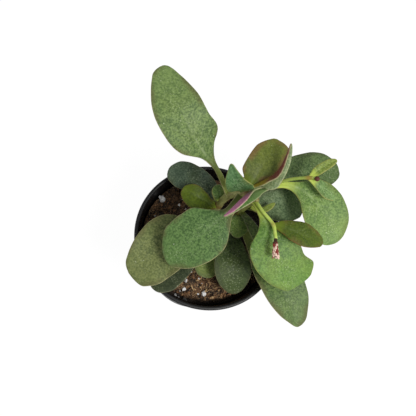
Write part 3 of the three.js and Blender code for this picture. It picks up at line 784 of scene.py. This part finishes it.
# %% Lower leaves
LOWER_LEAVES = [
    leaf(
        "leaf_02_dark_left", "dark", "465746", fold=10,
        rib=[(4.2, 16, 89), (1, 26, 93), (-8, 34, 97), (-18, 38, 98), (-29.5, 40, 96)],
        left=[2, 3, 6, 8.5, 10, 11.5, 11, 9.5, 6],
        right=[2, 3, 6, 7.8, 8.5, 9.2, 9.6, 8.4, 5.5],
    ),
    leaf(
        "leaf_03_small_olive_left", "olive", "4d5f16", fold=10,
        rib=[(4.8, 17.6, 99), (-4, 18, 104), (-13, 20.5, 107), (-21, 24, 107)],
        left=[2, 3, 5, 7, 8, 9, 8, 6, 3.5],
        right=[2, 2.5, 3.5, 5, 6, 7.5, 8, 7, 5],
    ),
    leaf(
        "leaf_04_short_left", "bright", "54703a", fold=12,
        rib=[(6, 18.5, 105), (4.5, 22, 108), (2, 28.5, 109)],
        left=[1.8, 3, 5, 5.5, 5.5, 5.5, 5, 4, 2.5],
        right=[1.8, 2, 2.5, 3, 3, 3.5, 3, 2.5, 2],
    ),
    leaf(
        "leaf_17_shaded_centre", "dark", "698242", fold=8,
        rib=[(18.7, 13.7, 95), (17.5, 6, 101), (15.5, -5, 102)],
        left=[1.6, 2.5, 4, 5.5, 6.5, 7, 6.5, 5, 3],
    ),
    leaf(
        "leaf_18_shaded_front", "dark", "5a6c40", fold=8,
        rib=[(19.3, 14, 99), (22.5, 7, 107), (28, -3, 108), (33, -12, 104)],
        left=[1.6, 1.8, 1.8, 2, 2.4, 3.2, 3.8, 3.6, 2.5],
        right=[1.6, 2, 2.5, 3.5, 4, 4.5, 4.5, 4, 2.5],
    ),
    leaf(
        "leaf_19_lower_centre", "dark", "3d4d29", fold=10,
        rib=[(4.2, 16, 87), (10, 5, 91), (13.5, -8, 95), (14.5, -24, 95), (17, -39, 87)],
        left=[2, 3, 4.5, 6, 8, 11, 12, 10, 6],
        right=[2, 3, 4, 6, 9, 12, 12.5, 10, 6],
    ),
    leaf(
        "leaf_21_large_left", "mid", "6c7748", fold=5, wave=(1.8, 2.2, 0.6),
        rib=[(4.1, 16, 91), (-11, 1, 98), (-30.5, -13, 102), (-53, -28.2, 96)],
        left=[2, 3, 5, 8, 12, 16.5, 17.4, 16.8, 13.4],
        right=[2, 3, 6, 12, 18, 20, 17, 12.5, 8],
    ),
    leaf(
        "leaf_22_low_left", "dark", "3c4630", fold=6,
        rib=[(4.3, 15, 85), (-6, -4, 89), (-19, -22, 91), (-38, -36.5, 90)],
        left=[2, 3, 4, 5, 6, 7.5, 9, 9.5, 7],
        right=[2, 3, 4, 5, 6, 7, 7, 6, 4],
    ),
    leaf(
        "leaf_23_low_front", "dark", "6f8143", fold=8,
        rib=[(4.8, 14.3, 79), (2, -3, 84), (-1.5, -28.5, 84)],
        left=[2, 2.5, 3, 3.5, 4, 5.5, 7, 7, 5],
        right=[2, 2.5, 4, 6, 7.5, 10, 11, 9.5, 7],
    ),
]
grow_leaves(LOWER_LEAVES, 40)

# %% [markdown]
# ## Stems and stalks
#
# The stems are fleshy, brownish green and swollen where leaves grow out. The stalks are thinner
# and bright. A curve object with a round bevel would do for an even tube, but these change in
# thickness, so a ring of edges is extruded from station to station along the path and scaled
# at each one. The last rings shrink like the rings of a ball, which closes the end. A short
# withered stub stands on the branch, where the flower stalk leaves it.

# %% Node group for the skin of stems and stalks
STREAK_SCALE = 420
STEM_PATCH_SCALE = 140
STREAK_STRENGTH = 0.55
STEM_RELIEF = 0.15


def stem_skin_group():
    inputs = [("Base", "colour"), ("Streak", "colour"), ("Knot", "colour"), ("Streak Strength", "number")]
    tree, taken, given = new_group("stem skin", inputs, [("Color", "colour"), ("Height", "number")])
    place = object_place(tree)
    squeezed = add_node(tree, "ShaderNodeMapping", {"Vector": place, "Scale": (1.0, 1.0, 0.35)})
    streaks = grain(tree, squeezed.outputs["Vector"], STREAK_SCALE, 3.0, 0.6)
    patches = grain(tree, place, STEM_PATCH_SCALE, 2.0, 0.5)
    streak = times(tree, threshold(tree, streaks, 0.42, 0.62), taken["Streak Strength"])
    colour = mixed(tree, streak, taken["Base"], taken["Streak"])
    knot = times(tree, measured(tree, "knot"), threshold(tree, patches, 0.3, 0.6, 0.2, 0.8))
    colour = mixed(tree, knot, colour, taken["Knot"])
    tree.links.new(colour, given["Color"])
    tree.links.new(times_plus(tree, streaks, 0.8, patches), given["Height"])
    return tree


stem_skin = stem_skin_group()


def stem_material(name, base, streak, knot):
    material, tree, shader = new_material(name)
    values = {"Base": tint(base), "Streak": tint(streak), "Knot": tint(knot)}
    skin = place_group(tree, stem_skin, Streak_Strength=STREAK_STRENGTH, **values)
    finish(tree, shader, skin.outputs["Color"], 0.48, skin.outputs["Height"], STEM_RELIEF)
    return material


# %% Extrude a tube along a path
TUBE_SIDES = 20
END_RINGS = 5
KNOT_REACH = 2.4
THICKNESS_VARIES = 0.05


def tube_radius(way, length, radius, knots, path):
    """The radius in mm at a distance along the path, swollen near its knots."""
    here = path.at(way / length)
    swell = 0
    for spot, swollen in knots:
        gap = (here - Vector(spot) * MM).length / MM
        swell = max(swell, (swollen - radius) * math.exp(-(gap / KNOT_REACH) ** 2))
    return radius + swell, min(1, swell / 0.4)


def extrude_tube(bm, points, radius, knots=(), spacing=0.9, sides=TUBE_SIDES):
    path = Path(points)
    length = path.length / MM
    knot_layer = bm.verts.layers.float.get("knot") or bm.verts.layers.float.new("knot")
    count = max(8, round(length / spacing))
    stops = [(length - radius) * k / count for k in range(count + 1)]
    stops += [length - radius + radius * math.sin(k / END_RINGS * math.pi / 2) for k in range(1, END_RINGS)]
    ahead = path.ahead(0)
    turn = ahead.to_track_quat("Z", "Y")
    last = None
    ring = None
    for way in stops:
        share = way / length
        new_ahead = path.ahead(share)
        turn = ahead.rotation_difference(new_ahead) @ turn
        ahead = new_ahead
        size, knot = tube_radius(way, length, radius, knots, path)
        size *= 1 + THICKNESS_VARIES * noise.noise(Vector((way / 3, radius, 0)))
        beyond = max(0, (way - (length - radius)) / radius)
        size *= math.sqrt(1 - beyond * beyond)
        pose = Matrix.Translation(path.at(share)) @ turn.to_matrix().to_4x4() @ Matrix.Scale(size * MM, 4)
        if ring is None:
            made = bmesh.ops.create_circle(bm, cap_ends=True, radius=1, segments=sides, matrix=pose)
            ring = list({edge for vert in made["verts"] for edge in vert.link_edges})
            verts = made["verts"]
        else:
            made = bmesh.ops.extrude_edge_only(bm, edges=ring)["geom"]
            verts = [g for g in made if isinstance(g, bmesh.types.BMVert)]
            ring = [g for g in made if isinstance(g, bmesh.types.BMEdge)]
            bmesh.ops.transform(bm, matrix=pose @ last.inverted(), verts=verts)
        for vert in verts:
            vert[knot_layer] = knot
        last = pose
    bmesh.ops.edgeloop_fill(bm, edges=ring)
    return length


# %% Stems and stalks
STEMS = {
    "stem_main": {
        "radius": 2.4, "skin": ("a6a866", "6c6038"),
        "points": [
            (6, 14, 60), (5, 14, 78), (4, 17, 96), (8.5, 19, 116), (14.5, 17.5, 127), (18.5, 17.6, 132),
        ],
        "knots": [((4.6, 18, 101), 2.8), ((18, 17.6, 131.2), 2.8)],
    },
    "stem_branch": {
        "radius": 2.0, "skin": ("a6ae60", "7c7440"),
        "points": [(17, 11, 60), (16, 11, 74), (19, 14, 98), (24, 15, 121)],
        "knots": [((19, 14, 97), 2.5), ((23.8, 15, 120), 2.4)],
        "stub": [(24.4, 14.8, 121), (24.8, 14.4, 123.5), (25, 14, 126)],
    },
    "stalk_front": {
        "radius": 1.05, "skin": ("c6e066", "dcea84"),
        "points": [
            (24, 15, 119), (25, 13, 123), (27.5, 6, 128), (33, -3.5, 132), (33.5, -9, 134),
            (33.5, -14, 135.5),
        ],
        "knots": [((33.4, -4.2, 132.2), 1.3)],
    },
    "stalk_right": {
        "radius": 1.05, "skin": ("8aa23e", "a2b052"),
        "points": [
            (14.5, 17.5, 127), (22, 18.3, 128.5), (30, 20, 131), (40.5, 23.5, 137.5), (54, 24.3, 142),
            (56.6, 23.6, 143.5),
        ],
        "knots": [((29.6, 19.9, 130.9), 1.3), ((54, 24.3, 142), 1.35)],
    },
}
STUB_RADIUS = 1.1
STEM_KNOT = "6e4424"
STALK_KNOT = "a0622c"
for name, stem in STEMS.items():
    thick = name.startswith("stem")
    bm = bmesh.new()
    length = extrude_tube(bm, stem["points"], stem["radius"], stem["knots"])
    if "stub" in stem:
        extrude_tube(bm, stem["stub"], STUB_RADIUS, [(stem["stub"][-1], STUB_RADIUS + 0.5)])
    bmesh.ops.recalc_face_normals(bm, faces=bm.faces[:])
    skin = stem_material(name + "_finish", *stem["skin"], STEM_KNOT if thick else STALK_KNOT)
    make_piece(bm, name + "_skin", skin, [name])
    print("  length", round(length), "mm")

# %% [markdown]
# ## Buds
#
# The front stalk ends in a small cluster of withered buds, dark at the stalk and striped white
# and dark red towards the end, and a single oval bud closes the right stalk. Each bud is a
# stretched ball of a few dozen faces, and the cluster is one mesh, which is lighter than many
# objects. A number stored on each bud picks its place between pale and red.

# %% Material for buds
def bud_material(name, dark, red, pale, share):
    material, tree, shader = new_material(name)
    place = object_place(tree)
    stripes = grain(tree, place, 1300, 2.0, 0.6)
    tone = maths(tree, "ADD", measured(tree, "tone"), times_plus(tree, stripes, 0.9, -0.45))
    colour = mixed(tree, threshold(tree, tone, share, share + 0.16), tint(red), tint(pale))
    colour = mixed(tree, threshold(tree, tone, 0.0, 0.22, 1.0, 0.0), colour, tint(dark))
    finish(tree, shader, colour, 0.6, stripes, 0.1)
    return material


# %% Bud cluster and single bud
BUD_COUNT = 48
BUD_SIZE = 0.95
BUD_STRETCH = 1.7
BUD_TURN = 2.4
DARK_SHARE = 0.32
CLUSTER_SPREAD = 1.6
CLUSTER_CORE = [(33.5, -13, 135.2), (32.9, -17, 136), (33.2, -24.5, 135)]


def add_bud(bm, place, ahead, size, stretch, tone):
    layer = bm.verts.layers.float.get("tone") or bm.verts.layers.float.new("tone")
    turn = ahead.to_track_quat("Z", "Y").to_matrix().to_4x4()
    pose = Matrix.Translation(place) @ turn @ Matrix.Diagonal((size, size, size * stretch, 1))
    made = bmesh.ops.create_icosphere(bm, subdivisions=2, radius=1, matrix=pose)
    for vert in made["verts"]:
        vert[layer] = tone


def bud_cluster():
    draw = random.Random(5)
    bm = bmesh.new()
    tone = bm.verts.layers.float.new("tone")
    extrude_tube(bm, CLUSTER_CORE, 1.0, spacing=0.7, sides=10)
    for vert in bm.verts:
        vert[tone] = -0.1
    path = Path(CLUSTER_CORE)
    for k in range(BUD_COUNT):
        share = 0.2 + 0.8 * k / (BUD_COUNT - 1)
        angle = BUD_TURN * k
        ahead = path.ahead(share)
        spread = CLUSTER_SPREAD * (0.25 + 0.75 * share) * MM
        outward = Vector((math.cos(angle), 0, math.sin(angle)))
        place = path.at(share) + outward * spread
        size = BUD_SIZE * (0.6 + 0.3 * draw.random()) * MM
        tone_here = 0.25 + 0.65 * draw.random() if share > DARK_SHARE else 0.05
        add_bud(bm, place, (ahead + outward * 0.5).normalized(), size, BUD_STRETCH, tone_here)
    bmesh.ops.recalc_face_normals(bm, faces=bm.faces[:])
    return bm


cluster_finish = bud_material("bud_cluster_skin", "34200f", "8c362c", "f0d2be", 0.5)
make_piece(bud_cluster(), "buds_front_cluster", cluster_finish, ["buds_front"])
bm = bmesh.new()
add_bud(bm, Vector((58.2, 22.9, 144.3)) * MM, Vector((0.6, -0.2, 0.7)), 1.55 * MM, 1.15, 0.35)
oval_finish = bud_material("bud_oval_skin", "38201a", "5e2c22", "8a7a46", 0.75)
make_piece(bm, "bud_right_oval", oval_finish, ["bud_right"])

# %% [markdown]
# ## The pot
#
# The pot is injection moulded from thin black plastic: a tapered wall, a skirted rim with a
# rounded lip, and round drain holes in its floor. Its profile is drawn once, as a closed chain of
# edges, and spun about the axis. The full turn is merged with its start. The holes are cut by
# round cutters with a Boolean modifier, which is applied and leaves no cutter behind.

# %% Spin the pot
POT_HEIGHT = 86
RIM_RADIUS = 50
BASE_RADIUS = 36.5
WALL = 1.5
SKIRT_HEIGHT = 9
SKIRT_STEP = 1.3
LIP_ROUNDING = 1.1
FLOOR_RISE = 0.8
FOOT_ROUNDING = 1.1
INSIDE_ROUNDING = 2
POT_STEPS = 144
DRAIN_HOLES = 6
DRAIN_RADIUS = 4
DRAIN_CIRCLE = 26


def outer_radius(z):
    return BASE_RADIUS + (RIM_RADIUS - SKIRT_STEP - BASE_RADIUS) * z / POT_HEIGHT


def arc(centre_r, centre_z, radius, start, end, steps):
    """Points of a rounding in the profile, from one angle to another in degrees."""
    angles = [math.radians(start + (end - start) * k / steps) for k in range(steps + 1)]
    return [(centre_r + radius * math.cos(a), centre_z + radius * math.sin(a)) for a in angles]


def pot_profile():
    foot = POT_HEIGHT - SKIRT_HEIGHT
    lip = LIP_ROUNDING
    top = POT_HEIGHT
    points = [(r, FLOOR_RISE) for r in (0, 20, BASE_RADIUS - 3.2)] + [(BASE_RADIUS - 2.6, 0)]
    points += arc(BASE_RADIUS - FOOT_ROUNDING, FOOT_ROUNDING, FOOT_ROUNDING, -90, 0, 5)
    points += [(outer_radius(z), z) for z in (20, 40, 60, foot - 0.4)]
    points += [(outer_radius(foot) + 0.3, foot - 0.05), (outer_radius(foot) + SKIRT_STEP - 0.3, foot)]
    points += [(outer_radius(foot) + SKIRT_STEP, foot + 0.3)]
    points += arc(RIM_RADIUS - lip, top - lip, lip, 0, 90, 6)
    points += arc(outer_radius(top) - WALL + lip, top - lip, lip, 90, 180, 5)
    points += [(outer_radius(z) - WALL, z) for z in (top - 4, 60, 40, 20, 5)]
    bend = INSIDE_ROUNDING
    points += arc(outer_radius(WALL) - WALL - bend, WALL + bend, bend, 0, -90, 5)
    points += [(20, WALL), (0, WALL)]
    return points


def spin_profile(points, steps):
    """A solid of revolution about the upright axis."""
    bm = bmesh.new()
    verts = [bm.verts.new((r * MM, 0, z * MM)) for r, z in points]
    edges = [bm.edges.new(pair) for pair in zip(verts, verts[1:])]
    bmesh.ops.spin(
        bm, geom=verts + edges, cent=(0, 0, 0), axis=(0, 0, 1), dvec=(0, 0, 0),
        angle=2 * math.pi, steps=steps, use_merge=True, use_duplicate=False,
    )
    bmesh.ops.remove_doubles(bm, verts=bm.verts[:], dist=0.01 * MM)
    bmesh.ops.recalc_face_normals(bm, faces=bm.faces[:])
    return bm


def hole_cutter():
    bm = bmesh.new()
    for k in range(DRAIN_HOLES):
        angle = 2 * math.pi * k / DRAIN_HOLES
        place = Vector((DRAIN_CIRCLE * math.cos(angle), DRAIN_CIRCLE * math.sin(angle), 0)) * MM
        radius = DRAIN_RADIUS * MM
        bmesh.ops.create_cone(
            bm, cap_ends=True, segments=28, radius1=radius, radius2=radius, depth=6 * MM,
            matrix=Matrix.Translation(place),
        )
    mesh = bpy.data.meshes.new("cutter")
    bm.to_mesh(mesh)
    bm.free()
    cutter = bpy.data.objects.new("cutter", mesh)
    bpy.context.scene.collection.objects.link(cutter)
    return cutter


def cut_away(piece, cutter):
    """Cuts one object out of another for good, and removes the cutter."""
    modifier = piece.modifiers.new("holes", "BOOLEAN")
    modifier.operation = "DIFFERENCE"
    modifier.solver = "EXACT"
    modifier.object = cutter
    bpy.context.view_layer.update()
    view = bpy.context.evaluated_depsgraph_get()
    cut = bpy.data.meshes.new_from_object(piece.evaluated_get(view))
    piece.modifiers.clear()
    cut.name = piece.data.name + "_cut"
    piece.data = cut
    bpy.data.objects.remove(cutter)
    print(piece.name, "after the cut:", len(cut.polygons), "faces")


# %% [markdown]
# Moulded black plastic is not quite black: it has a fine satin grain, a little dust, and a film
# of dried soil up to a little above the potting mix. The grain roughens the surface, and film and
# dust lie in loose patches. The heights between which the film ends are in metres.

# %% Black plastic for the pot
GRIT_SCALE = 2600
FILM_SCALE = 90
FILM_TOP = (0.074, 0.083)


def pot_material():
    material, tree, shader = new_material("pot_plastic")
    place = object_place(tree)
    height = add_node(tree, "ShaderNodeSeparateXYZ", {"Vector": place}).outputs["Z"]
    grit = grain(tree, place, GRIT_SCALE, 2.0, 0.6)
    film = grain(tree, place, FILM_SCALE, 4.0, 0.6)
    low_down = threshold(tree, height, *FILM_TOP, 1.0, 0.0)
    dust = times(tree, threshold(tree, film, 0.46, 0.72), low_down)
    dust = times_plus(tree, dust, 0.3, threshold(tree, film, 0.5, 0.8, 0.0, 0.1))
    colour = mixed(tree, dust, tint("0c0c0e"), tint("40362e"))
    finish(tree, shader, colour, times_plus(tree, film, 0.25, 0.3), grit, 0.04)
    return material


moulded = spin_profile(pot_profile(), POT_STEPS)
pot = make_piece(moulded, "pot_moulded", pot_material(), ["pot"])
cut_away(pot, hole_cutter())

# %% [markdown]
# ## The potting mix
#
# The mix is moist peat and bark with white perlite. Its body is a spun solid whose top is pushed
# up and down by several sizes of noise. A displacement modifier could do that, but moving the
# points in code keeps the same gentle lumps as the plain solid and stays easy to measure. At the
# front it has shrunk away from the wall, which leaves a sunken gap. Shade is painted onto the
# mix: near black in the gap under the rim, dark around the stems under the leaves, and darker
# over the back. Each point stores how much painted shade it gets, for the material to read.

# %% Potting mix surface
SOIL_LEVEL = 74
SOIL_SLOPE = 0.035
LUMP_HEIGHT = 0.9
SOIL_EDGE = 44.4
SOIL_FLOOR = 1.8
SOIL_RINGS = 64
SOIL_STEPS = 220
GAP_START = 40.2
GAP_DEPTH = 4
# Painted shade on the mix: around a spot by the stems, within this reach, and over the back.
SHADE_SPOT = (24, 13)
SHADE_REACH = (13, 24)
BACK_SHADE = 0.45
SOIL_BUMPS = ((7, 1.6), (3, 1.4), (1.3, 0.8))


def soil_height(x, y):
    """The height of the top in mm, as in the plain solid."""
    lumps = math.sin(x * 0.31 + 1.2) * math.cos(y * 0.27) + 0.6 * math.sin(x * 0.13 - y * 0.52)
    return SOIL_LEVEL + SOIL_SLOPE * y + LUMP_HEIGHT * lumps


def front_gap(x, y):
    """The sunken gap between the mix and the front of the pot, in painted shade: 1 in it, 0 elsewhere."""
    reach = math.hypot(x, y)
    return smooth_step(-y, 0.5 * reach, 0.7 * reach + 0.1) * smooth_step(reach, GAP_START, GAP_START + 2)


def painted_soil_shade(x, y):
    """Painted shade on the mix: darkest in the gap and around the stems, and dark all over the back."""
    from_stems = math.hypot(x - SHADE_SPOT[0], y - SHADE_SPOT[1])
    back = BACK_SHADE * smooth_step(y, -12, 12)
    return max(front_gap(x, y), 1 - smooth_step(from_stems, *SHADE_REACH), back)


def fine_soil_height(x, y):
    height = soil_height(x, y) - GAP_DEPTH * front_gap(x, y)
    for size, rise in SOIL_BUMPS:
        height += rise * noise.noise(Vector((x / size, y / size, size)))
    return height


def soil_body():
    points = [(0, SOIL_FLOOR), (34, SOIL_FLOOR), (35, SOIL_FLOOR + 1.5), (SOIL_EDGE - 0.6, SOIL_LEVEL - 3)]
    points += [(SOIL_EDGE * k / SOIL_RINGS, SOIL_LEVEL) for k in range(SOIL_RINGS, -1, -1)]
    bm = spin_profile(points, SOIL_STEPS)
    # Each point stores the painted shade of the mix, for the material to read.
    painted_shade = bm.verts.layers.float.new("painted_shade")
    for vert in bm.verts:
        vert[painted_shade] = painted_soil_shade(vert.co.x / MM, vert.co.y / MM)
        if vert.co.z > (SOIL_LEVEL - 0.01) * MM:
            vert.co.z = fine_soil_height(vert.co.x / MM, vert.co.y / MM) * MM
    bmesh.ops.recalc_face_normals(bm, faces=bm.faces[:])
    return bm


def peat_material():
    material, tree, shader = new_material("peat")
    place = object_place(tree)
    lumps = grain(tree, place, 260, 4.0, 0.65)
    crumbs = grain(tree, place, 1100, 3.0, 0.65)
    colour = mixed(tree, threshold(tree, lumps, 0.4, 0.62), tint("1c110a"), tint("805c3c"))
    colour = mixed(tree, threshold(tree, crumbs, 0.5, 0.7), colour, tint("c8a47a"))
    # Painted shade: the mix turns near black where its points store shade.
    colour = mixed(tree, times(tree, measured(tree, "painted_shade"), 0.9), colour, tint("0c0806"))
    dull = times_plus(tree, crumbs, 0.3, 0.55)
    finish(tree, shader, colour, dull, maths(tree, "ADD", lumps, crumbs), 1.2)
    return material


make_piece(soil_body(), "soil_surface", peat_material(), ["soil"])

# %% [markdown]
# Loose crumbs and slivers of bark lie on the surface. Hundreds of them need a light shape, so each
# is a ball of twenty faces that is squeezed, turned and sunk a little. A number on each crumb
# makes it darker or lighter, and it is dark where shade is painted on the mix.

# %% Crumbs and slivers of bark
CRUMB_COUNT = 1100
SLIVER_COUNT = 420


def add_crumb(bm, layer, place, turn, size, tone):
    pose = Matrix.Translation(place) @ turn.to_4x4() @ Matrix.Diagonal((*size, 1))
    made = bmesh.ops.create_icosphere(bm, subdivisions=1, radius=1, matrix=pose)
    for vert in made["verts"]:
        vert[layer] = tone


def random_turn(draw, tilt):
    turn = Matrix.Rotation(draw.uniform(0, 2 * math.pi), 3, "Z")
    for axis in "XY":
        turn = turn @ Matrix.Rotation(draw.uniform(-tilt, tilt), 3, axis)
    return turn


def spot_on_soil(draw, margin=1.5):
    angle = draw.uniform(0, 2 * math.pi)
    reach = (SOIL_EDGE - margin) * math.sqrt(draw.random())
    x = reach * math.cos(angle)
    y = reach * math.sin(angle)
    return x, y, fine_soil_height(x, y)


def loose_bark():
    draw = random.Random(21)
    bm = bmesh.new()
    layer = bm.verts.layers.float.new("tone")
    for k in range(CRUMB_COUNT):
        x, y, z = spot_on_soil(draw)
        size = draw.uniform(0.35, 1.0) + 0.7 * draw.random() ** 4
        shape = Vector((size, size * draw.uniform(0.6, 1), size * draw.uniform(0.5, 0.9))) * MM
        place = Vector((x, y, z + 0.3 * size)) * MM
        # Painted shade: a crumb is darker where the mix is painted dark.
        add_crumb(bm, layer, place, random_turn(draw, 0.5), shape, draw.random() * (1 - painted_soil_shade(x, y)))
    for k in range(SLIVER_COUNT):
        x, y, z = spot_on_soil(draw, 3.5)
        length = draw.uniform(1.2, 3.4)
        shape = Vector((length, draw.uniform(0.25, 0.6), draw.uniform(0.15, 0.35))) * MM
        place = Vector((x, y, z + 0.6)) * MM
        # Painted shade: a sliver is darker where the mix is painted dark.
        add_crumb(bm, layer, place, random_turn(draw, 0.35), shape, draw.random() * (1 - painted_soil_shade(x, y)))
    return bm


def bark_material():
    material, tree, shader = new_material("bark")
    place = object_place(tree)
    fibres = grain(tree, place, 1500, 3.0, 0.6)
    tone = times_plus(tree, fibres, 0.5, maths(tree, "ADD", measured(tree, "tone"), -0.25))
    colour = mixed(tree, threshold(tree, tone, 0.1, 0.5), tint("1e130c"), tint("8a6442"))
    colour = mixed(tree, threshold(tree, tone, 0.6, 0.95), colour, tint("d2b080"))
    finish(tree, shader, colour, 0.7, fibres, 0.2)
    return material


bark_finish = bark_material()
make_piece(loose_bark(), "soil_bark", bark_finish)

# %% [markdown]
# Fine root and bark fibres curl over the surface. Each is a very thin tube along a short bent
# path, made like the stems but with four sides. They are darker where shade is painted on the mix.

# %% Fibres
FIBRE_COUNT = 170


def soil_fibres():
    draw = random.Random(8)
    bm = bmesh.new()
    for k in range(FIBRE_COUNT):
        x, y, z = spot_on_soil(draw, 8)
        heading = draw.uniform(0, 2 * math.pi)
        points = []
        for bend in range(4):
            points.append((x, y, fine_soil_height(x, y) + 0.35 + 0.7 * draw.random()))
            heading += draw.uniform(-0.7, 0.7)
            step = draw.uniform(1.0, 2.2)
            x += step * math.cos(heading)
            y += step * math.sin(heading)
        extrude_tube(bm, points, draw.uniform(0.1, 0.2), spacing=0.9, sides=4)
    tone = bm.verts.layers.float.new("tone")
    for vert in bm.verts:
        # Painted shade: a fibre is dark where the mix is painted dark.
        vert[tone] = 1.0 - painted_soil_shade(vert.co.x / MM, vert.co.y / MM)
    bmesh.ops.recalc_face_normals(bm, faces=bm.faces[:])
    return bm


make_piece(soil_fibres(), "soil_fibres", bark_finish)

# %% [markdown]
# ## Perlite
#
# Perlite is volcanic glass puffed up by heat: white, rough grains like popcorn. The largest lies
# at the left of the pot, a group lies at its front. Each grain is a ball whose points are pushed
# in and out by noise, half sunk in the mix. A row gives its x, its y, its radius in mm, and how
# white it is: the grains by the front wall are grey as painted shade of the rim, and the rest
# differ in their own tone. The grains at the wall are pulled in until they lie clear of it.

# %% Perlite grains
# The low whiteness of the grains by the front wall is painted shade of the rim.
PLACED_GRAINS = [
    (-33.6, 29.8, 2.5, 0.7), (-1.6, -37.2, 1.9, 1), (-15.2, -34.3, 1.3, 1), (-13.9, -28.9, 1.1, 1),
    (-10.5, -21.9, 1.2, 1), (10.8, -29.6, 1.2, 1), (-5.6, -37.5, 0.8, 0.8), (-5.3, -27.1, 0.7, 0.8),
    (-20.5, -37.6, 1.2, 0.5), (-14.4, -40.4, 1.3, 0), (-13.7, -43, 0.8, 0.3), (-19, -39.9, 0.9, 0.3),
    (-19.3, 23.9, 0.9, 1),
]
LOOSE_GRAINS = 26


def add_grain(bm, layer, draw, x, y, size, tone):
    place = Vector((x, y, fine_soil_height(x, y) + 0.45 * size)) * MM
    squeeze = Matrix.Diagonal((1.1, draw.uniform(0.75, 1), draw.uniform(0.7, 0.95), 1))
    pose = Matrix.Translation(place) @ random_turn(draw, 0.8).to_4x4() @ squeeze
    made = bmesh.ops.create_icosphere(bm, subdivisions=3, radius=size * MM, matrix=pose)
    seed = 50 * draw.random()
    for vert in made["verts"]:
        outward = (vert.co - place).normalized()
        bulge = noise.noise(outward * 1.6 + Vector((seed, 0, 0))) * 0.4
        bulge += noise.noise(outward * 4.5 + Vector((0, seed, 0))) * 0.2
        vert.co += outward * bulge * size * MM
        vert[layer] = tone


def perlite():
    draw = random.Random(3)
    bm = bmesh.new()
    layer = bm.verts.layers.float.new("tone")
    for x, y, size, tone in PLACED_GRAINS:
        inside = min(1, (SOIL_EDGE - size) / math.hypot(x, y))
        add_grain(bm, layer, draw, x * inside, y * inside, size, tone)
    for k in range(LOOSE_GRAINS):
        x, y, z = spot_on_soil(draw, 4)
        add_grain(bm, layer, draw, x, y, draw.uniform(0.35, 0.75), draw.uniform(0.3, 1))
    bmesh.ops.recalc_face_normals(bm, faces=bm.faces[:])
    return bm


def perlite_material():
    material, tree, shader = new_material("perlite")
    place = object_place(tree)
    pores = grain(tree, place, 1800, 3.0, 0.6)
    colour = mixed(tree, threshold(tree, pores, 0.3, 0.5), tint("dcd9d2"), tint("ffffff"))
    # Grey where a grain's number is low: its own tone, and painted shade for the grains by the front wall.
    colour = mixed(tree, measured(tree, "tone"), tint("4c4a46"), colour)
    finish(tree, shader, colour, 0.85, pores, 0.25)
    return material


make_piece(perlite(), "soil_perlite", perlite_material())

# %% [markdown]
# ## Floor and light
#
# The plant stands on a plain white ground that is lit until it is as white as the paper. One
# soft light hangs above it at the front right, and the white surroundings lighten the shadows.
# The ground glows by itself where the camera sees it, so the pot's shadow on it stays faint, as
# on a light table. The view transform is the plain one, because the default one would grey the
# whites and dull the greens.

# %% Floor, light and surroundings
FLOOR_SIZE = 3
FLOOR_WHITE = (0.85, 0.85, 0.85, 1)
FLOOR_GLOW = 1.08
GLOW_SHARE = 0.88
LIGHT_PLACE = (0.36, -0.42, 1.05)
LIGHT_AIM = (0.01, 0.01, 0.11)
LIGHT_SIZE = 0.38
LIGHT_POWER = 7.5
LIGHT_COLOUR = (1.0, 0.99, 0.97)
SURROUNDINGS_GLOW = 0.4


def add_floor():
    bm = bmesh.new()
    bmesh.ops.create_grid(bm, x_segments=1, y_segments=1, size=FLOOR_SIZE)
    mesh = bpy.data.meshes.new("floor")
    bm.to_mesh(mesh)
    bm.free()
    material, tree, shader = new_material("floor_white")
    plain = {"Base Color": FLOOR_WHITE, "Roughness": 0.9, "Specular IOR Level": 0.0}
    fill_sockets(tree, shader, plain)
    glow = add_node(tree, "ShaderNodeEmission", {"Color": (1, 1, 1, 1), "Strength": FLOOR_GLOW})
    seen = add_node(tree, "ShaderNodeLightPath").outputs["Is Camera Ray"]
    sockets = {0: times(tree, seen, GLOW_SHARE), 1: shader.outputs["BSDF"], 2: glow.outputs["Emission"]}
    both = add_node(tree, "ShaderNodeMixShader", sockets)
    tree.links.new(both.outputs["Shader"], tree.nodes["Material Output"].inputs["Surface"])
    mesh.materials.append(material)
    floor = bpy.data.objects.new("floor", mesh)
    bpy.context.scene.collection.objects.link(floor)


def add_light():
    data = bpy.data.lights.new("main_light", "AREA")
    data.shape = "DISK"
    data.size = LIGHT_SIZE
    data.energy = LIGHT_POWER
    data.color = LIGHT_COLOUR
    light = bpy.data.objects.new("main_light", data)
    turn = (Vector(LIGHT_AIM) - Vector(LIGHT_PLACE)).to_track_quat("-Z", "Y").to_matrix().to_4x4()
    light.matrix_world = Matrix.Translation(Vector(LIGHT_PLACE)) @ turn
    bpy.context.scene.collection.objects.link(light)


def white_surroundings():
    world = bpy.data.worlds.new("surroundings")
    bpy.context.scene.world = world
    world.use_nodes = True
    tree = world.node_tree
    seen = add_node(tree, "ShaderNodeLightPath").outputs["Is Camera Ray"]
    sockets = {"Value": seen, "To Min": SURROUNDINGS_GLOW, "To Max": 1.0}
    strength = add_node(tree, "ShaderNodeMapRange", sockets).outputs["Result"]
    fill_sockets(tree, tree.nodes["Background"], {"Color": (1, 1, 1, 1), "Strength": strength})


add_floor()
add_light()
white_surroundings()
bpy.context.scene.view_settings.view_transform = "Standard"
print("one light of", LIGHT_POWER, "W and white surroundings of", SURROUNDINGS_GLOW)
